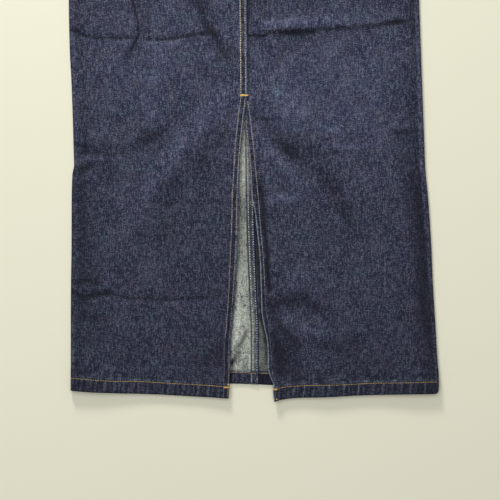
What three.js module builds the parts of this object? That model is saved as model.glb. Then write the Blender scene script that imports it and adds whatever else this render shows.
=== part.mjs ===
// A long denim skirt laid flat, front up, on its back panels.
// Millimetres. +Z is up from the surface it lies on, +Y runs from the hem to the waist.
import * as THREE from 'three';

// Driving sizes
const length = 880; // lowest hem corner to the top of the waistband
const cloth = 1.1; // one layer of denim
const gap = 0.3; // between pieces at a seam
const hemDepth = 17;
const hemWall = 2.3; // cloth turned up at the hem
const fellWidth = 9.6; // felled centre seams and the slit's turned edges
const slitTop = 395; // height of the bar tack above the lowest hem corner
const allowance = 5.8; // side seam allowance pressed under the right front
const allowanceRise = 0.8;
const bandHeight = 38;
const bandWall = 2.4; // waistband, folded double
const underlap = 42; // waistband end under the button
const zipLength = 150;
const zipWidth = 26;
const zipTape = 0.7;
const zipChain = 1.5;
const buttonRadius = 8.5;
const buttonHeight = 3.4;

const bandBottom = length - bandHeight;
const panelTop = bandBottom - gap;
const flyBottom = panelTop - zipLength - 22;
const lapRise = cloth + gap; // one layer lying on the next
const flyWidth = zipWidth + 4;
const flySlope = 12; // the cloth comes down beside the zip over this width
const flyRise = lapRise + zipChain + gap;
const hemBlend = 150; // the hem's curve fades out of the cloth above it over this height
const backHemTop = 40; // top of the back's turned-up hem
const seamPlateau = 24; // half width of the front's rest on the felled back seam
const seamFade = 60;
const edgeRound = 2.2; // radius of the folded side edges
const edgeFoot = 1.4; // width of the edge that stands on the back's edge
const slack = 1.5; // usual lift of the front off the back
const slackWave = 0.35;

// Side edges of the laid skirt
const sides = [
  { up: 0, left: -238.2, right: 239.0 },
  { up: 25, left: -237.5, right: 240.2 },
  { up: 66, left: -237.6, right: 237.7 },
  { up: 105, left: -237.6, right: 235.5 },
  { up: 150, left: -237.4, right: 232.7 },
  { up: 200, left: -236.7, right: 230.5 },
  { up: 262, left: -236.5, right: 226.5 },
  { up: 294, left: -235.6, right: 223.4 },
  { up: 307, left: -233.4, right: 222.4 },
  { up: 330, left: -234.0, right: 221.6 },
  { up: 365, left: -235.0, right: 220.3 },
  { up: 415, left: -236.8, right: 218.4 },
  { up: 455, left: -238.9, right: 217.0 },
  { up: 520, left: -240.2, right: 214.8 },
  { up: 600, left: -240.0, right: 213.6 },
  { up: 660, left: -237.5, right: 211.5 },
  { up: 720, left: -230.5, right: 205.0 },
  { up: 780, left: -219.0, right: 193.5 },
  { up: 842, left: -204.0, right: 180.0 },
  { up: 880, left: -202.0, right: 178.0 },
];

// Lap edge of the centre front seam, then the two edges of the slit below it
const leftEdge = [
  { up: 0, x: -32.6 },
  { up: 41, x: -30.5 },
  { up: 67, x: -29.6 },
  { up: 106, x: -26.3 },
  { up: 138, x: -23.7 },
  { up: 171, x: -21.8 },
  { up: 203, x: -20.5 },
  { up: 242, x: -19.2 },
  { up: 275, x: -18.9 },
  { up: 314, x: -18.1 },
  { up: 340, x: -15.3 },
  { up: 379, x: -10.7 },
  { up: 395, x: -8.4 },
  { up: 457, x: -8.7 },
  { up: 522, x: -9.2 },
  { up: 880, x: -10.5 },
];
const rightEdge = [
  { up: 0, x: 26.1 },
  { up: 16, x: 24.6 },
  { up: 22, x: 25.2 },
  { up: 29, x: 22.6 },
  { up: 36, x: 20.0 },
  { up: 44, x: 18.4 },
  { up: 67, x: 18.0 },
  { up: 83, x: 16.5 },
  { up: 106, x: 11.6 },
  { up: 119, x: 9.9 },
  { up: 171, x: 8.4 },
  { up: 197, x: 6.7 },
  { up: 223, x: 3.9 },
  { up: 245, x: 1.4 },
  { up: 264, x: -2.6 },
  { up: 301, x: -4.7 },
  { up: 333, x: -7.8 },
  { up: 357, x: -10.2 },
  { up: 368, x: -10.8 },
  { up: 379, x: -9.6 },
  { up: 395, x: -7.8 },
];

// Centre back seam, seen through the slit
const backSeam = [
  { up: 0, x: -3.3 },
  { up: 80, x: -3.3 },
  { up: 116, x: -4.5 },
  { up: 190, x: -7.5 },
  { up: 229, x: -8.8 },
  { up: 281, x: -9.8 },
  { up: 400, x: -10.8 },
  { up: 842, x: -12.0 },
];

// Hem edges: the front drops at the slit's corners, the back is drawn up in the middle
const frontHem = [
  { x: -238, up: 14.7 },
  { x: -200, up: 11.8 },
  { x: -135, up: 9.9 },
  { x: -70, up: 6.5 },
  { x: -32, up: 4.3 },
  { x: 26, up: 0 },
  { x: 34, up: 2.3 },
  { x: 54, up: 4.9 },
  { x: 99, up: 6.2 },
  { x: 138, up: 8.3 },
  { x: 190, up: 9.6 },
  { x: 238, up: 10.3 },
];
const backHem = [
  { x: -238, up: 16 },
  { x: -120, up: 19.5 },
  { x: -32, up: 23.2 },
  { x: 5, up: 22.2 },
  { x: 26, up: 21.2 },
  { x: 120, up: 17.5 },
  { x: 238, up: 12 },
];

// How much more the front hem stands off the surface along its length
const hemLift = [
  { x: -238, lift: 3.4 },
  { x: -205, lift: 2.4 },
  { x: -130, lift: -0.6 },
  { x: -75, lift: -0.2 },
  { x: -32, lift: 0.9 },
  { x: 26, lift: 0.5 },
  { x: 60, lift: 0.2 },
  { x: 88, lift: 1.7 },
  { x: 150, lift: 0.8 },
  { x: 215, lift: 2.6 },
  { x: 238, lift: 2.0 },
];

// Crease left by folding the skirt across: a valley on the left, a ridge on the right
const storageFold = [
  { x: -239, up: 476, height: -1.2 },
  { x: -187, up: 473, height: -1.4 },
  { x: -102, up: 472, height: -1.4 },
  { x: -48, up: 477, height: -1.2 },
  { x: 4, up: 478, height: 0 },
  { x: 28, up: 482.7, height: 2.4 },
  { x: 60, up: 484.6, height: 2.8 },
  { x: 138, up: 489.8, height: 1.6 },
  { x: 215, up: 500, height: 1.2 },
];
const storageFoldHalf = 9;

// Soft folds of the front: a line from one point to the other, its half width and height
const softFolds = [
  { x0: -23, up0: 396, x1: -106, up1: 324, half: 14, height: 2.5 },
  { x0: -90, up0: 336, x1: -164, up1: 262, half: 14, height: 1.8 },
  { x0: -27, up0: 353, x1: -130, up1: 241, half: 15, height: -1.6 },
  { x0: -106, up0: 360, x1: -184, up1: 322, half: 9, height: -1.1 },
  { x0: -138, up0: 395, x1: -126, up1: 350, half: 14, height: 1.0 },
  { x0: -90, up0: 560, x1: -30, up1: 432, half: 9, height: -1.8 },
  { x0: -238, up0: 138, x1: -184, up1: 141, half: 6, height: -1.6 },
  { x0: -184, up0: 137, x1: -30, up1: 136, half: 6, height: -1.0 },
  { x0: 6, up0: 366, x1: 67, up1: 315, half: 11, height: -1.9 },
  { x0: 45, up0: 330, x1: 122, up1: 236, half: 12, height: -1.7 },
  { x0: 30, up0: 402, x1: 64, up1: 364, half: 15, height: 1.3 },
  { x0: 8, up0: 342, x1: 66, up1: 268, half: 11, height: 1.5 },
  { x0: 21, up0: 132, x1: 66, up1: 64, half: 8, height: -1.6 },
  { x0: 24, up0: 128, x1: 92, up1: 114, half: 9, height: -1.5 },
  { x0: 30, up0: 120, x1: 104, up1: 84, half: 10, height: 1.6 },
  { x0: 80, up0: 74, x1: 138, up1: 80, half: 11, height: -0.8 },
  { x0: 66, up0: 464, x1: 28, up1: 438, half: 10, height: -0.8 },
  { x0: -170, up0: 640, x1: -70, up1: 610, half: 24, height: 1.4 },
  { x0: 60, up0: 590, x1: 165, up1: 650, half: 22, height: 1.5 },
];

// Monotone cubic through a table's rows, from one named column to another
function along(table, key, value, at) {
  const last = table.length - 1;
  if (at <= table[0][key]) return table[0][value];
  if (at >= table[last][key]) return table[last][value];
  const slope = (i) => (table[i + 1][value] - table[i][value]) / (table[i + 1][key] - table[i][key]);
  const tangent = (i) => {
    if (i === 0) return slope(0);
    if (i === last) return slope(last - 1);
    const before = slope(i - 1);
    const after = slope(i);
    return before * after <= 0 ? 0 : (2 * before * after) / (before + after);
  };
  const i = table.findIndex((row) => row[key] > at) - 1;
  const step = table[i + 1][key] - table[i][key];
  const t = (at - table[i][key]) / step;
  const ease = t * t * (3 - 2 * t);
  const curve = (t * (1 - t) * (1 - t) * tangent(i) - t * t * (1 - t) * tangent(i + 1)) * step;
  return table[i][value] * (1 - ease) + table[i + 1][value] * ease + curve;
}

// Eases from 0 at start to 1 at end, either way round
function blend(value, start, end) {
  const t = THREE.MathUtils.clamp((value - start) / (end - start), 0, 1);
  return t * t * (3 - 2 * t);
}

// Bell of height 1 round a line from one point to another, fading past its ends
function bell(fold, x, up) {
  const run = new THREE.Vector2(fold.x1 - fold.x0, fold.up1 - fold.up0);
  const from = new THREE.Vector2(x - fold.x0, up - fold.up0);
  const share = THREE.MathUtils.clamp(from.dot(run) / run.lengthSq(), 0, 1);
  const away = from.distanceTo(run.multiplyScalar(share));
  return Math.exp(-((away / fold.half) ** 2)) * (0.35 + 0.65 * Math.sin(Math.PI * share));
}

// Height of the back's inside, the level that the front lies on
function backTop(x, up) {
  const hem = (hemWall - cloth) * blend(up, backHemTop + 6, backHemTop);
  const fromSeam = Math.abs(x - along(backSeam, 'up', 'x', up) - fellWidth / 2);
  const seam = lapRise * blend(fromSeam, seamFade, seamPlateau);
  return cloth + Math.max(hem, seam);
}

// Underside of the front cloth away from its seams
function frontUnder(x, up) {
  const fold = storageFoldHeight(x, up);
  const soft = softFolds.reduce((sum, one) => sum + one.height * bell(one, x, up), 0);
  const wave = slackWave * Math.sin(x / 47 + up / 120) * Math.sin(up / 83 - x / 140);
  const lift = along(hemLift, 'x', 'lift', x) * blend(up, 130, 0);
  return backTop(x, up) + gap + Math.max(0.05, slack + wave + fold + soft + lift);
}

function storageFoldHeight(x, up) {
  const away = (up - along(storageFold, 'x', 'up', x)) / storageFoldHalf;
  return along(storageFold, 'x', 'height', x) * Math.exp(-away * away);
}

// Closed wall between two surfaces over one grid. at(i, j) gives a point of each.
function wall(columns, rows, at) {
  const positions = [];
  const indices = [];
  for (const surface of ['under', 'top']) {
    for (let j = 0; j < rows; j += 1) {
      for (let i = 0; i < columns; i += 1) positions.push(...at(i, j)[surface]);
    }
  }
  const top = columns * rows;
  const quad = (a, b, c, d) => indices.push(a, b, c, a, c, d);
  for (let j = 0; j + 1 < rows; j += 1) {
    for (let i = 0; i + 1 < columns; i += 1) {
      const corner = j * columns + i;
      const above = corner + columns;
      quad(corner, above, above + 1, corner + 1);
      quad(top + corner, top + corner + 1, top + above + 1, top + above);
    }
  }
  for (let i = 0; i + 1 < columns; i += 1) {
    const far = (rows - 1) * columns + i;
    quad(i, i + 1, top + i + 1, top + i);
    quad(far + 1, far, top + far, top + far + 1);
  }
  for (let j = 0; j + 1 < rows; j += 1) {
    const near = j * columns;
    const far = near + columns - 1;
    quad(near + columns, near, top + near, top + near + columns);
    quad(far, far + columns, top + far + columns, top + far);
  }
  const geometry = new THREE.BufferGeometry();
  geometry.setAttribute('position', new THREE.Float32BufferAttribute(positions, 3));
  geometry.setIndex(indices);
  geometry.computeVertexNormals();
  return geometry;
}

// Columns across a panel: set in from the side, shared out between, and set in from the inner edge
const frontColumns = [
  ...[0, 0.5, edgeFoot, edgeFoot + 1.8, allowance, allowance + 1.5].map((side) => ({ side })),
  ...[0.09, 0.16, 0.23, 0.3, 0.37, 0.44, 0.51, 0.58, 0.64, 0.7, 0.76, 0.82].map((share) => ({ share })),
  ...[flyWidth + flySlope, flyWidth, fellWidth + 1.6, fellWidth, 0].map((inner) => ({ inner })),
];
const backColumns = [
  ...[0.3, 1.2, 8].map((side) => ({ side })),
  ...[0.2, 0.4, 0.6, 0.8].map((share) => ({ share })),
  ...[fellWidth + 2.2, fellWidth + 1.6, fellWidth + 0.6, fellWidth, 0].map((inner) => ({ inner })),
];

// Rows up a panel, closer at the hem, the top of the slit, the storage fold and the fly
const frontRows = [
  0, 0.8, hemDepth - 1, hemDepth + 0.6, 30, backHemTop, backHemTop + 6, 58, 70, 82, 94, 106, 118, 128, 136,
  144, 156, 172, 190, 208, 225, 242, 258, 272, 286, 300, 312, 324, 336, 348, 360, 371, 382, slitTop - 4,
  slitTop - 1, slitTop + 2, slitTop + 5, 412, 426, 440, 452, 462, 469, 475, 480, 485, 491, 498, 508, 522,
  545, 575, 605, 640, flyBottom - 10, flyBottom + 8, 705, 735, 765, 795, 822, panelTop,
];
const backRows = [
  0, hemDepth - 1, hemDepth + 0.6, 60, 105, 150, 200, 250, 307, 365, 455, 520, 600, 660, 720, 780, panelTop,
];

// Where a column and a row meet on a panel, and how far that is from the panel's two long edges
function onPanel(column, row, sideName, hem, innerEdge) {
  const outward = sideName === 'left' ? -1 : 1;
  const inner = innerEdge(row);
  let up = row;
  let x = 0;
  let side = 0;
  for (let pass = 0; pass < 3; pass += 1) {
    side = along(sides, 'up', sideName, up);
    if (column.side !== undefined) x = side - outward * column.side;
    if (column.share !== undefined) x = THREE.MathUtils.lerp(side, inner, column.share);
    if (column.inner !== undefined) x = inner + outward * column.inner;
    up = row + along(hem, 'x', 'up', x) * blend(row, hemBlend, 0);
  }
  return { x, up, fromSide: outward * (side - x), fromInner: outward * (x - inner) };
}

const y = (up) => up - length / 2;

// Extra thickness of the hem, rounded off at its fold
const hemExtra = (row) => (hemWall - cloth) * blend(row, hemDepth + 0.6, hemDepth - 1) * blend(row, -0.5, 0.8);

// A front panel. The left one laps over the right one above the slit and covers the zip.
function frontPanel(sideName) {
  const isLeft = sideName === 'left';
  const columns = isLeft ? frontColumns : [...frontColumns].reverse();
  const closed = (row) => blend(row, slitTop - 1, slitTop + 2);
  const innerEdge = (row) => {
    const lapEdge = along(leftEdge, 'up', 'x', row);
    if (isLeft) return lapEdge;
    const flap = along(rightEdge, 'up', 'x', row);
    return THREE.MathUtils.lerp(flap, lapEdge - fellWidth, blend(row, slitTop + 2, slitTop + 5));
  };
  return wall(columns.length, frontRows.length, (i, j) => {
    const row = frontRows[j];
    const { x, up, fromSide, fromInner } = onPanel(columns[i], row, sideName, frontHem, innerEdge);
    const lying = frontUnder(x, up);
    const edgeLevel = backTop(x, up) + gap;
    const lap = lapRise * blend(fromInner, fellWidth + 1.6, fellWidth);
    const flyHeight = flyRise * blend(row, flyBottom - 10, flyBottom + 8);
    const fly = flyHeight * blend(fromInner, flyWidth + flySlope, flyWidth);
    const rise = isLeft ? Math.max(lap, fly) : lap * (1 - closed(row));
    const seamAllowance = isLeft ? 0 : allowanceRise * blend(fromSide, allowance + 1.5, allowance);
    const extra = Math.hypot(rise, hemExtra(row), seamAllowance);
    const curl = 1.1 * blend(fromInner, 12, 0) * (1 - closed(row)) * blend(row, 300, 200);
    const lifted = isLeft ? rise * closed(row) : curl;
    const round = Math.sqrt(1 - (1 - Math.min(fromSide / edgeRound, 1)) ** 2);
    const under = THREE.MathUtils.lerp(edgeLevel, lying + lifted, blend(fromSide, edgeFoot, edgeFoot + 1.8));
    const over = isLeft ? 0 : curl;
    const top = THREE.MathUtils.lerp(edgeLevel + cloth / 2, lying + cloth + extra + over, round);
    return { under: [x, y(up), under], top: [x, y(up), top] };
  });
}

// A back panel, flat where it lies. The left one's allowance is felled over the right one.
function backPanel(sideName) {
  const isLeft = sideName === 'left';
  const columns = isLeft ? backColumns : [...backColumns].reverse();
  const innerEdge = (row) => along(backSeam, 'up', 'x', row) + (isLeft ? fellWidth : gap);
  return wall(columns.length, backRows.length, (i, j) => {
    const row = backRows[j];
    const { x, up, fromSide, fromInner } = onPanel(columns[i], row, sideName, backHem, innerEdge);
    const lap = isLeft ? lapRise * blend(fromInner, fellWidth + 1.6, fellWidth) : 0;
    const clearOfLap = isLeft ? 1 : blend(fromInner, fellWidth + 0.6, fellWidth + 2.2);
    const top = cloth + Math.max(lap, hemExtra(row) * clearOfLap) - 0.4 * blend(fromSide, 1.2, 0.3);
    return { under: [x, y(up), lap], top: [x, y(up), top] };
  });
}

// The waistband's wall seen from the waist: from the underlap round the back to the lap's end
function bandLine(up) {
  const half = bandWall / 2;
  const turn = (bandWall + gap) / 2;
  const back = half;
  const front = back + 2 * turn;
  const over = front + 2 * turn;
  const lapEnd = along(leftEdge, 'up', 'x', up);
  const underEnd = lapEnd - underlap;
  const left = along(sides, 'up', 'left', up) + half + turn;
  const right = along(sides, 'up', 'right', up) - half - turn;
  const line = [];
  const straight = (from, to, height, steps) => {
    for (let k = 0; k <= steps; k += 1) line.push({ x: THREE.MathUtils.lerp(from, to, k / steps), z: height });
  };
  const fold = (centre, start) => {
    for (let k = 1; k < 6; k += 1) {
      const angle = start - (Math.PI * k) / 6;
      line.push({ x: centre + turn * Math.cos(angle), z: back + turn + turn * Math.sin(angle) });
    }
  };
  straight(underEnd, right, front, 4);
  fold(right, Math.PI / 2);
  straight(right, left, back, 8);
  fold(left, -Math.PI / 2);
  straight(left, underEnd - 16, front, 3);
  for (let k = 1; k < 4; k += 1) {
    const t = k / 4;
    line.push({ x: underEnd - 16 + 12 * t, z: THREE.MathUtils.lerp(front, over, blend(t, 0, 1)) });
  }
  straight(underEnd - 4, lapEnd, over, 2);
  return line;
}

function waistband() {
  const stations = [bandBottom, bandBottom + 2, length - 2, length];
  const lines = stations.map(bandLine);
  const half = bandWall / 2;
  return wall(lines[0].length, stations.length, (i, j) => {
    const line = lines[j];
    const before = line[Math.max(i - 1, 0)];
    const after = line[Math.min(i + 1, line.length - 1)];
    const run = Math.hypot(after.x - before.x, after.z - before.z);
    const across = { x: -(after.z - before.z) / run, z: (after.x - before.x) / run };
    const { x, z } = line[i];
    return {
      under: [x - half * across.x, y(stations[j]), z - half * across.z],
      top: [x + half * across.x, y(stations[j]), z + half * across.z],
    };
  });
}

// Closed zip: two tapes and the chain between them, under the front lap
function zip() {
  const columns = [
    { inset: zipWidth + 1, thick: zipTape },
    { inset: zipWidth / 2 + 4, thick: zipTape },
    { inset: zipWidth / 2 + 3.5, thick: zipChain },
    { inset: zipWidth / 2 - 1.5, thick: zipChain },
    { inset: zipWidth / 2 - 2, thick: zipTape },
    { inset: 1, thick: zipTape },
  ];
  const rows = [flyBottom + 12, 705, 735, 765, 795, 822, panelTop - 2];
  return wall(columns.length, rows.length, (i, j) => {
    const x = along(leftEdge, 'up', 'x', rows[j]) - columns[i].inset;
    const lying = frontUnder(x, rows[j]) + lapRise;
    return { under: [x, y(rows[j]), lying], top: [x, y(rows[j]), lying + columns[i].thick] };
  });
}

// Shank button with a dished cap, on the waistband's lap
function waistButton() {
  const shank = buttonRadius * 0.45;
  const profile = [
    [0, 0],
    [shank, 0],
    [shank, 0.9],
    [buttonRadius - 0.6, 1.0],
    [buttonRadius, 1.5],
    [buttonRadius - 0.1, buttonHeight - 0.7],
    [buttonRadius - 0.9, buttonHeight],
    [buttonRadius - 2.4, buttonHeight - 0.5],
    [0, buttonHeight - 0.7],
  ].map(([radius, height]) => new THREE.Vector2(radius, height));
  const geometry = new THREE.LatheGeometry(profile, 32);
  geometry.rotateX(Math.PI / 2);
  return geometry;
}

const denim = new THREE.MeshStandardMaterial({ color: 0x2f3550, roughness: 0.92 });
const denimInside = new THREE.MeshStandardMaterial({ color: 0x8d948c, roughness: 0.95 });
const tape = new THREE.MeshStandardMaterial({ color: 0x23273a, roughness: 0.9 });
const metal = new THREE.MeshStandardMaterial({ color: 0xa9855a, roughness: 0.35, metalness: 1 });

const group = new THREE.Group();

function add(name, geometry, material) {
  const mesh = new THREE.Mesh(geometry, material);
  mesh.name = name;
  group.add(mesh);
  return mesh;
}

for (const sideName of ['left', 'right']) {
  add(`front_panel_${sideName}`, frontPanel(sideName), denim);
  add(`back_panel_${sideName}`, backPanel(sideName), denimInside);
}
add('waistband', waistband(), denim);
add('zip', zip(), tape);

const button = add('waist_button', waistButton(), metal);
const buttonUp = length - bandHeight / 2;
const bandTop = 3 * bandWall + 2 * gap;
button.position.set(along(leftEdge, 'up', 'x', buttonUp) - 15, y(buttonUp), bandTop + gap);

export default group;
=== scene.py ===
import math
import bpy
import numpy as np
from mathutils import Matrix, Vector


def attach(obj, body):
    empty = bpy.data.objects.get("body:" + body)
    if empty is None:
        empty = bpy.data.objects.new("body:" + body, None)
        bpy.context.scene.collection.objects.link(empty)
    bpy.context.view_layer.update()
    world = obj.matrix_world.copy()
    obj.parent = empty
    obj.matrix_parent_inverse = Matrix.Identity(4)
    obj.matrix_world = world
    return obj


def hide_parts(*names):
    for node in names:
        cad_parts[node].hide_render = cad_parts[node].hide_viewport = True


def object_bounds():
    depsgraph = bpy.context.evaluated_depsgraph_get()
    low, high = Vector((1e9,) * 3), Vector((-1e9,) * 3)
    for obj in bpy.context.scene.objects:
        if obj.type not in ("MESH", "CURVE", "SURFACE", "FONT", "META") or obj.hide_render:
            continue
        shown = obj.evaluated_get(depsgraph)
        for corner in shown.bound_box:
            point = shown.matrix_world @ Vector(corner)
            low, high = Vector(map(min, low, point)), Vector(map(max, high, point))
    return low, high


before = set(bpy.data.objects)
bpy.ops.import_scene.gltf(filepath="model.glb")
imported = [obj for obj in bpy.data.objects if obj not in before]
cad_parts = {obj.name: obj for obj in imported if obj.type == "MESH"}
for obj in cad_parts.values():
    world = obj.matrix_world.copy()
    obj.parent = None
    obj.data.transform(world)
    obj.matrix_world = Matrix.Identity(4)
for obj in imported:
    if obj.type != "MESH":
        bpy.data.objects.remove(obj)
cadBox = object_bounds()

print("frame loaded:", len(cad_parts), "nodes")
mm = 0.001

# A denim skirt laid flat, front up. Tables are in millimetres: x across, up from the lowest hem corner.
skirt = dict(
    length=(cadBox[1].y - cadBox[0].y) / mm,
    cloth=1.1,            # one layer of denim
    gap=0.3,              # between sewn layers
    hemDepth=17.0,        # turned-up hem
    hemStitch=15.6,       # its stitch row above the hem edge
    hemWall=2.3,
    hemBlend=150.0,       # the hem's curve has gone from the cloth at this height
    fellWidth=9.6,        # felled seams and the slit's turned edges
    backRows=(2.1, 7.4),  # stitch rows of the back seam, in from its lap's edge
    slitTop=395.0,
    bandHeight=38.0,
    bandWall=2.4,
    underlap=42.0,
    zipLength=150.0,
    flyWidth=30.0,
    flySlope=12.0,
    flyRise=3.2,
    edgeRound=2.2,
    backHemTop=40.0,
)
lapRise = skirt["cloth"] + skirt["gap"]
bandBottom = skirt["length"] - skirt["bandHeight"]
panelTop = bandBottom - skirt["gap"]
flyBottom = panelTop - skirt["zipLength"] - 22


# monotone cubic through (place, value) rows, which never overshoots them
def curveThrough(rows):
    place, value = np.array(rows, float).T
    step = np.diff(place)
    slope = np.diff(value) / step
    before, after = slope[:-1], slope[1:]
    both = before + after
    inside = np.where(before * after > 0, 2 * before * after / np.where(both == 0, 1, both), 0)
    tangent = np.concatenate((slope[:1], inside, slope[-1:]))

    def at(x):
        x = np.clip(x, place[0], place[-1])
        i = np.clip(np.searchsorted(place, x, side="right") - 1, 0, len(step) - 1)
        t = (x - place[i]) / step[i]
        ease = t * t * (3 - 2 * t)
        bend = (t * (1 - t) ** 2 * tangent[i] - t * t * (1 - t) * tangent[i + 1]) * step[i]
        return value[i] * (1 - ease) + value[i + 1] * ease + bend
    return at


# eases from 0 at start to 1 at end, either way round
def blend(value, start, end):
    t = np.clip((value - start) / (end - start), 0, 1)
    return t * t * (3 - 2 * t)


# quarter round: 0 at an edge, 1 from the radius on
def rounded(distance, radius):
    return np.sqrt(1 - (1 - np.clip(distance / radius, 0, 1)) ** 2)


# a soft mark of the given half width
def mark(distance, half):
    return np.exp(-(distance / half) ** 2)


leftSide = curveThrough([
    (0, -238.2), (25, -237.5), (66, -237.6), (105, -237.6), (150, -237.4), (200, -236.7), (262, -236.5),
    (294, -235.6), (307, -233.4), (330, -234.0), (365, -235.0), (415, -236.8), (455, -238.9), (520, -240.2),
    (600, -240.0), (660, -237.5), (720, -230.5), (780, -219.0), (842, -204.0), (880, -202.0)])
rightSide = curveThrough([
    (0, 236.2), (10, 236.6), (12, 238.9), (15, 239.9), (25, 240.2), (66, 237.7), (105, 235.5),
    (150, 232.7), (200, 230.5), (262, 226.5), (294, 223.4), (307, 222.4), (330, 221.6), (365, 220.3),
    (415, 218.4), (455, 217.0), (520, 214.8), (600, 213.6), (660, 211.5), (720, 205.0), (780, 193.5),
    (842, 180.0), (880, 178.0)])
# lap edge of the centre front seam, and below the bar tack the slit's left edge
lapEdge = curveThrough([
    (0, -32.6), (41, -30.5), (67, -29.6), (106, -26.3), (138, -23.7), (171, -21.8), (203, -20.5),
    (242, -19.2), (275, -18.9), (314, -18.1), (340, -15.3), (379, -10.7), (395, -8.4), (457, -8.7),
    (522, -9.2), (880, -10.5)])
slitRight = curveThrough([
    (0, 26.1), (16, 24.6), (22, 25.2), (29, 22.6), (36, 20.0), (44, 18.4), (67, 18.0), (83, 16.5),
    (93, 14.1), (106, 11.6), (119, 9.9), (171, 8.4), (197, 6.7), (210, 5.4), (223, 3.9), (245, 1.4),
    (256, -1.2), (264, -2.6), (281, -3.6), (301, -4.7), (314, -5.9), (333, -7.8), (346, -9.2),
    (357, -10.2), (368, -10.8), (379, -9.6), (395, -7.8)])
backSeam = curveThrough([
    (0, -3.3), (80, -3.3), (93, -3.6), (116, -4.5), (190, -7.5), (210, -8.2), (229, -8.8), (281, -9.8),
    (314, -10.4), (400, -10.8), (842, -12.0)])
# stitch rows of the centre seam, which run on down both sides of the slit
leftOuter = curveThrough([
    (8, -39.1), (28, -38.9), (47, -38.3), (60, -38.3), (73, -37.8), (86, -36.7), (99, -35.4),
    (116, -34.1), (136, -32.7), (171, -31.0), (197, -30.0), (210, -29.3), (236, -28.4), (262, -27.9),
    (275, -27.4), (288, -26.6), (301, -25.7), (327, -24.2), (353, -21.8), (366, -20.5), (376, -19.2),
    (385, -17.9), (396, -16.7), (405, -16.6), (457, -17.2), (522, -17.7), (880, -19.0)])
leftInner = curveThrough([
    (25, -32.8), (54, -33.1), (67, -32.7), (80, -32.0), (99, -30.2), (116, -28.9), (136, -27.2),
    (171, -24.9), (206, -23.3), (216, -22.8), (242, -22.4), (262, -22.0), (281, -21.4), (301, -20.5),
    (314, -19.7), (327, -18.5), (340, -17.5), (353, -15.9), (366, -14.6), (376, -13.3), (387, -12.0),
    (396, -10.8), (405, -10.3), (457, -11.0), (522, -11.5), (880, -12.8)])
rightOuter = curveThrough([
    (6, 28.6), (24, 27.0), (34, 24.8), (45, 23.2), (54, 23.1), (64, 22.4), (80, 21.1), (103, 18.5),
    (116, 16.6), (138, 14.8), (171, 13.2), (190, 12.0), (203, 10.7), (229, 8.5), (255, 6.6), (281, 4.2),
    (301, 2.4), (314, 1.1), (327, -0.2), (340, -1.5), (353, -2.9), (366, -4.6), (379, -6.2), (390, -8.0)])
rightInner = curveThrough([
    (255, 0.2), (262, -1.6), (281, -2.5), (301, -3.6), (314, -4.9), (327, -5.9), (333, -6.6),
    (346, -8.0), (353, -8.9), (366, -9.8)])
frontHem = curveThrough([
    (-238, 14.7), (-200, 11.8), (-135, 9.9), (-70, 6.5), (-32, 4.3), (26, 0), (34, 2.3), (54, 4.9),
    (99, 6.2), (138, 8.3), (190, 9.6), (238, 10.3)])
backHem = curveThrough([(-238, 16), (-120, 19.5), (-32, 23.2), (5, 22.2), (26, 21.2), (120, 17.5), (238, 12)])
# how far in from the right side the seam allowance's ridge ends
ridgeWidth = curveThrough([
    (0, 4.6), (80, 4.8), (140, 5.2), (195, 6.6), (262, 7.2), (380, 7.0), (440, 6.0), (515, 6.2), (842, 6.2)])
# painted shade beside that ridge: how much darker the cloth is, and how far in
besideShade = curveThrough([
    (0, 0.26), (70, 0.28), (130, 0.42), (200, 0.43), (262, 0.50), (327, 0.46), (379, 0.50), (444, 0.42),
    (515, 0.30), (880, 0.25)])
besideReach = curveThrough([
    (0, 26), (130, 34), (200, 34), (262, 42), (327, 40), (379, 32), (444, 26), (515, 20), (880, 20)])
# painted shade beside the left side
leftBesideShade = curveThrough([(0, 0.08), (130, 0.12), (200, 0.18), (380, 0.23), (515, 0.28), (880, 0.2)])
# how much higher the front hem stands off the surface along its length
hemLift = curveThrough([
    (-238, 3.4), (-205, 2.4), (-130, -0.6), (-75, -0.2), (-32, 0.9), (26, 0.5), (60, 0.2), (88, 1.7),
    (150, 0.8), (215, 2.6), (238, 2.0)])
# ridge that folding for storage left across the right side: its crest, and its height
ridgePlace = curveThrough([
    (10, 481), (28, 482.7), (60, 484.6), (99, 487.2), (138, 489.8), (171, 493.7), (190, 496.3), (215, 500)])
ridgeHeight = curveThrough([
    (8, 0), (20, 1.6), (30, 2.6), (65, 2.7), (100, 2.0), (140, 1.5), (170, 1.4), (186, 1.7),
    (200, 0.5), (212, 0)])
# that ridge's half widths, and where and how much it is lit above its crest and shaded below
ridgeLook = dict(above=13, below=4.4, lit=0.12, litInside=0.34, litAt=8, litHalf=7.5, shaded=0.45,
                 shadedAt=4.2, shadedHalf=3.6)
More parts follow.
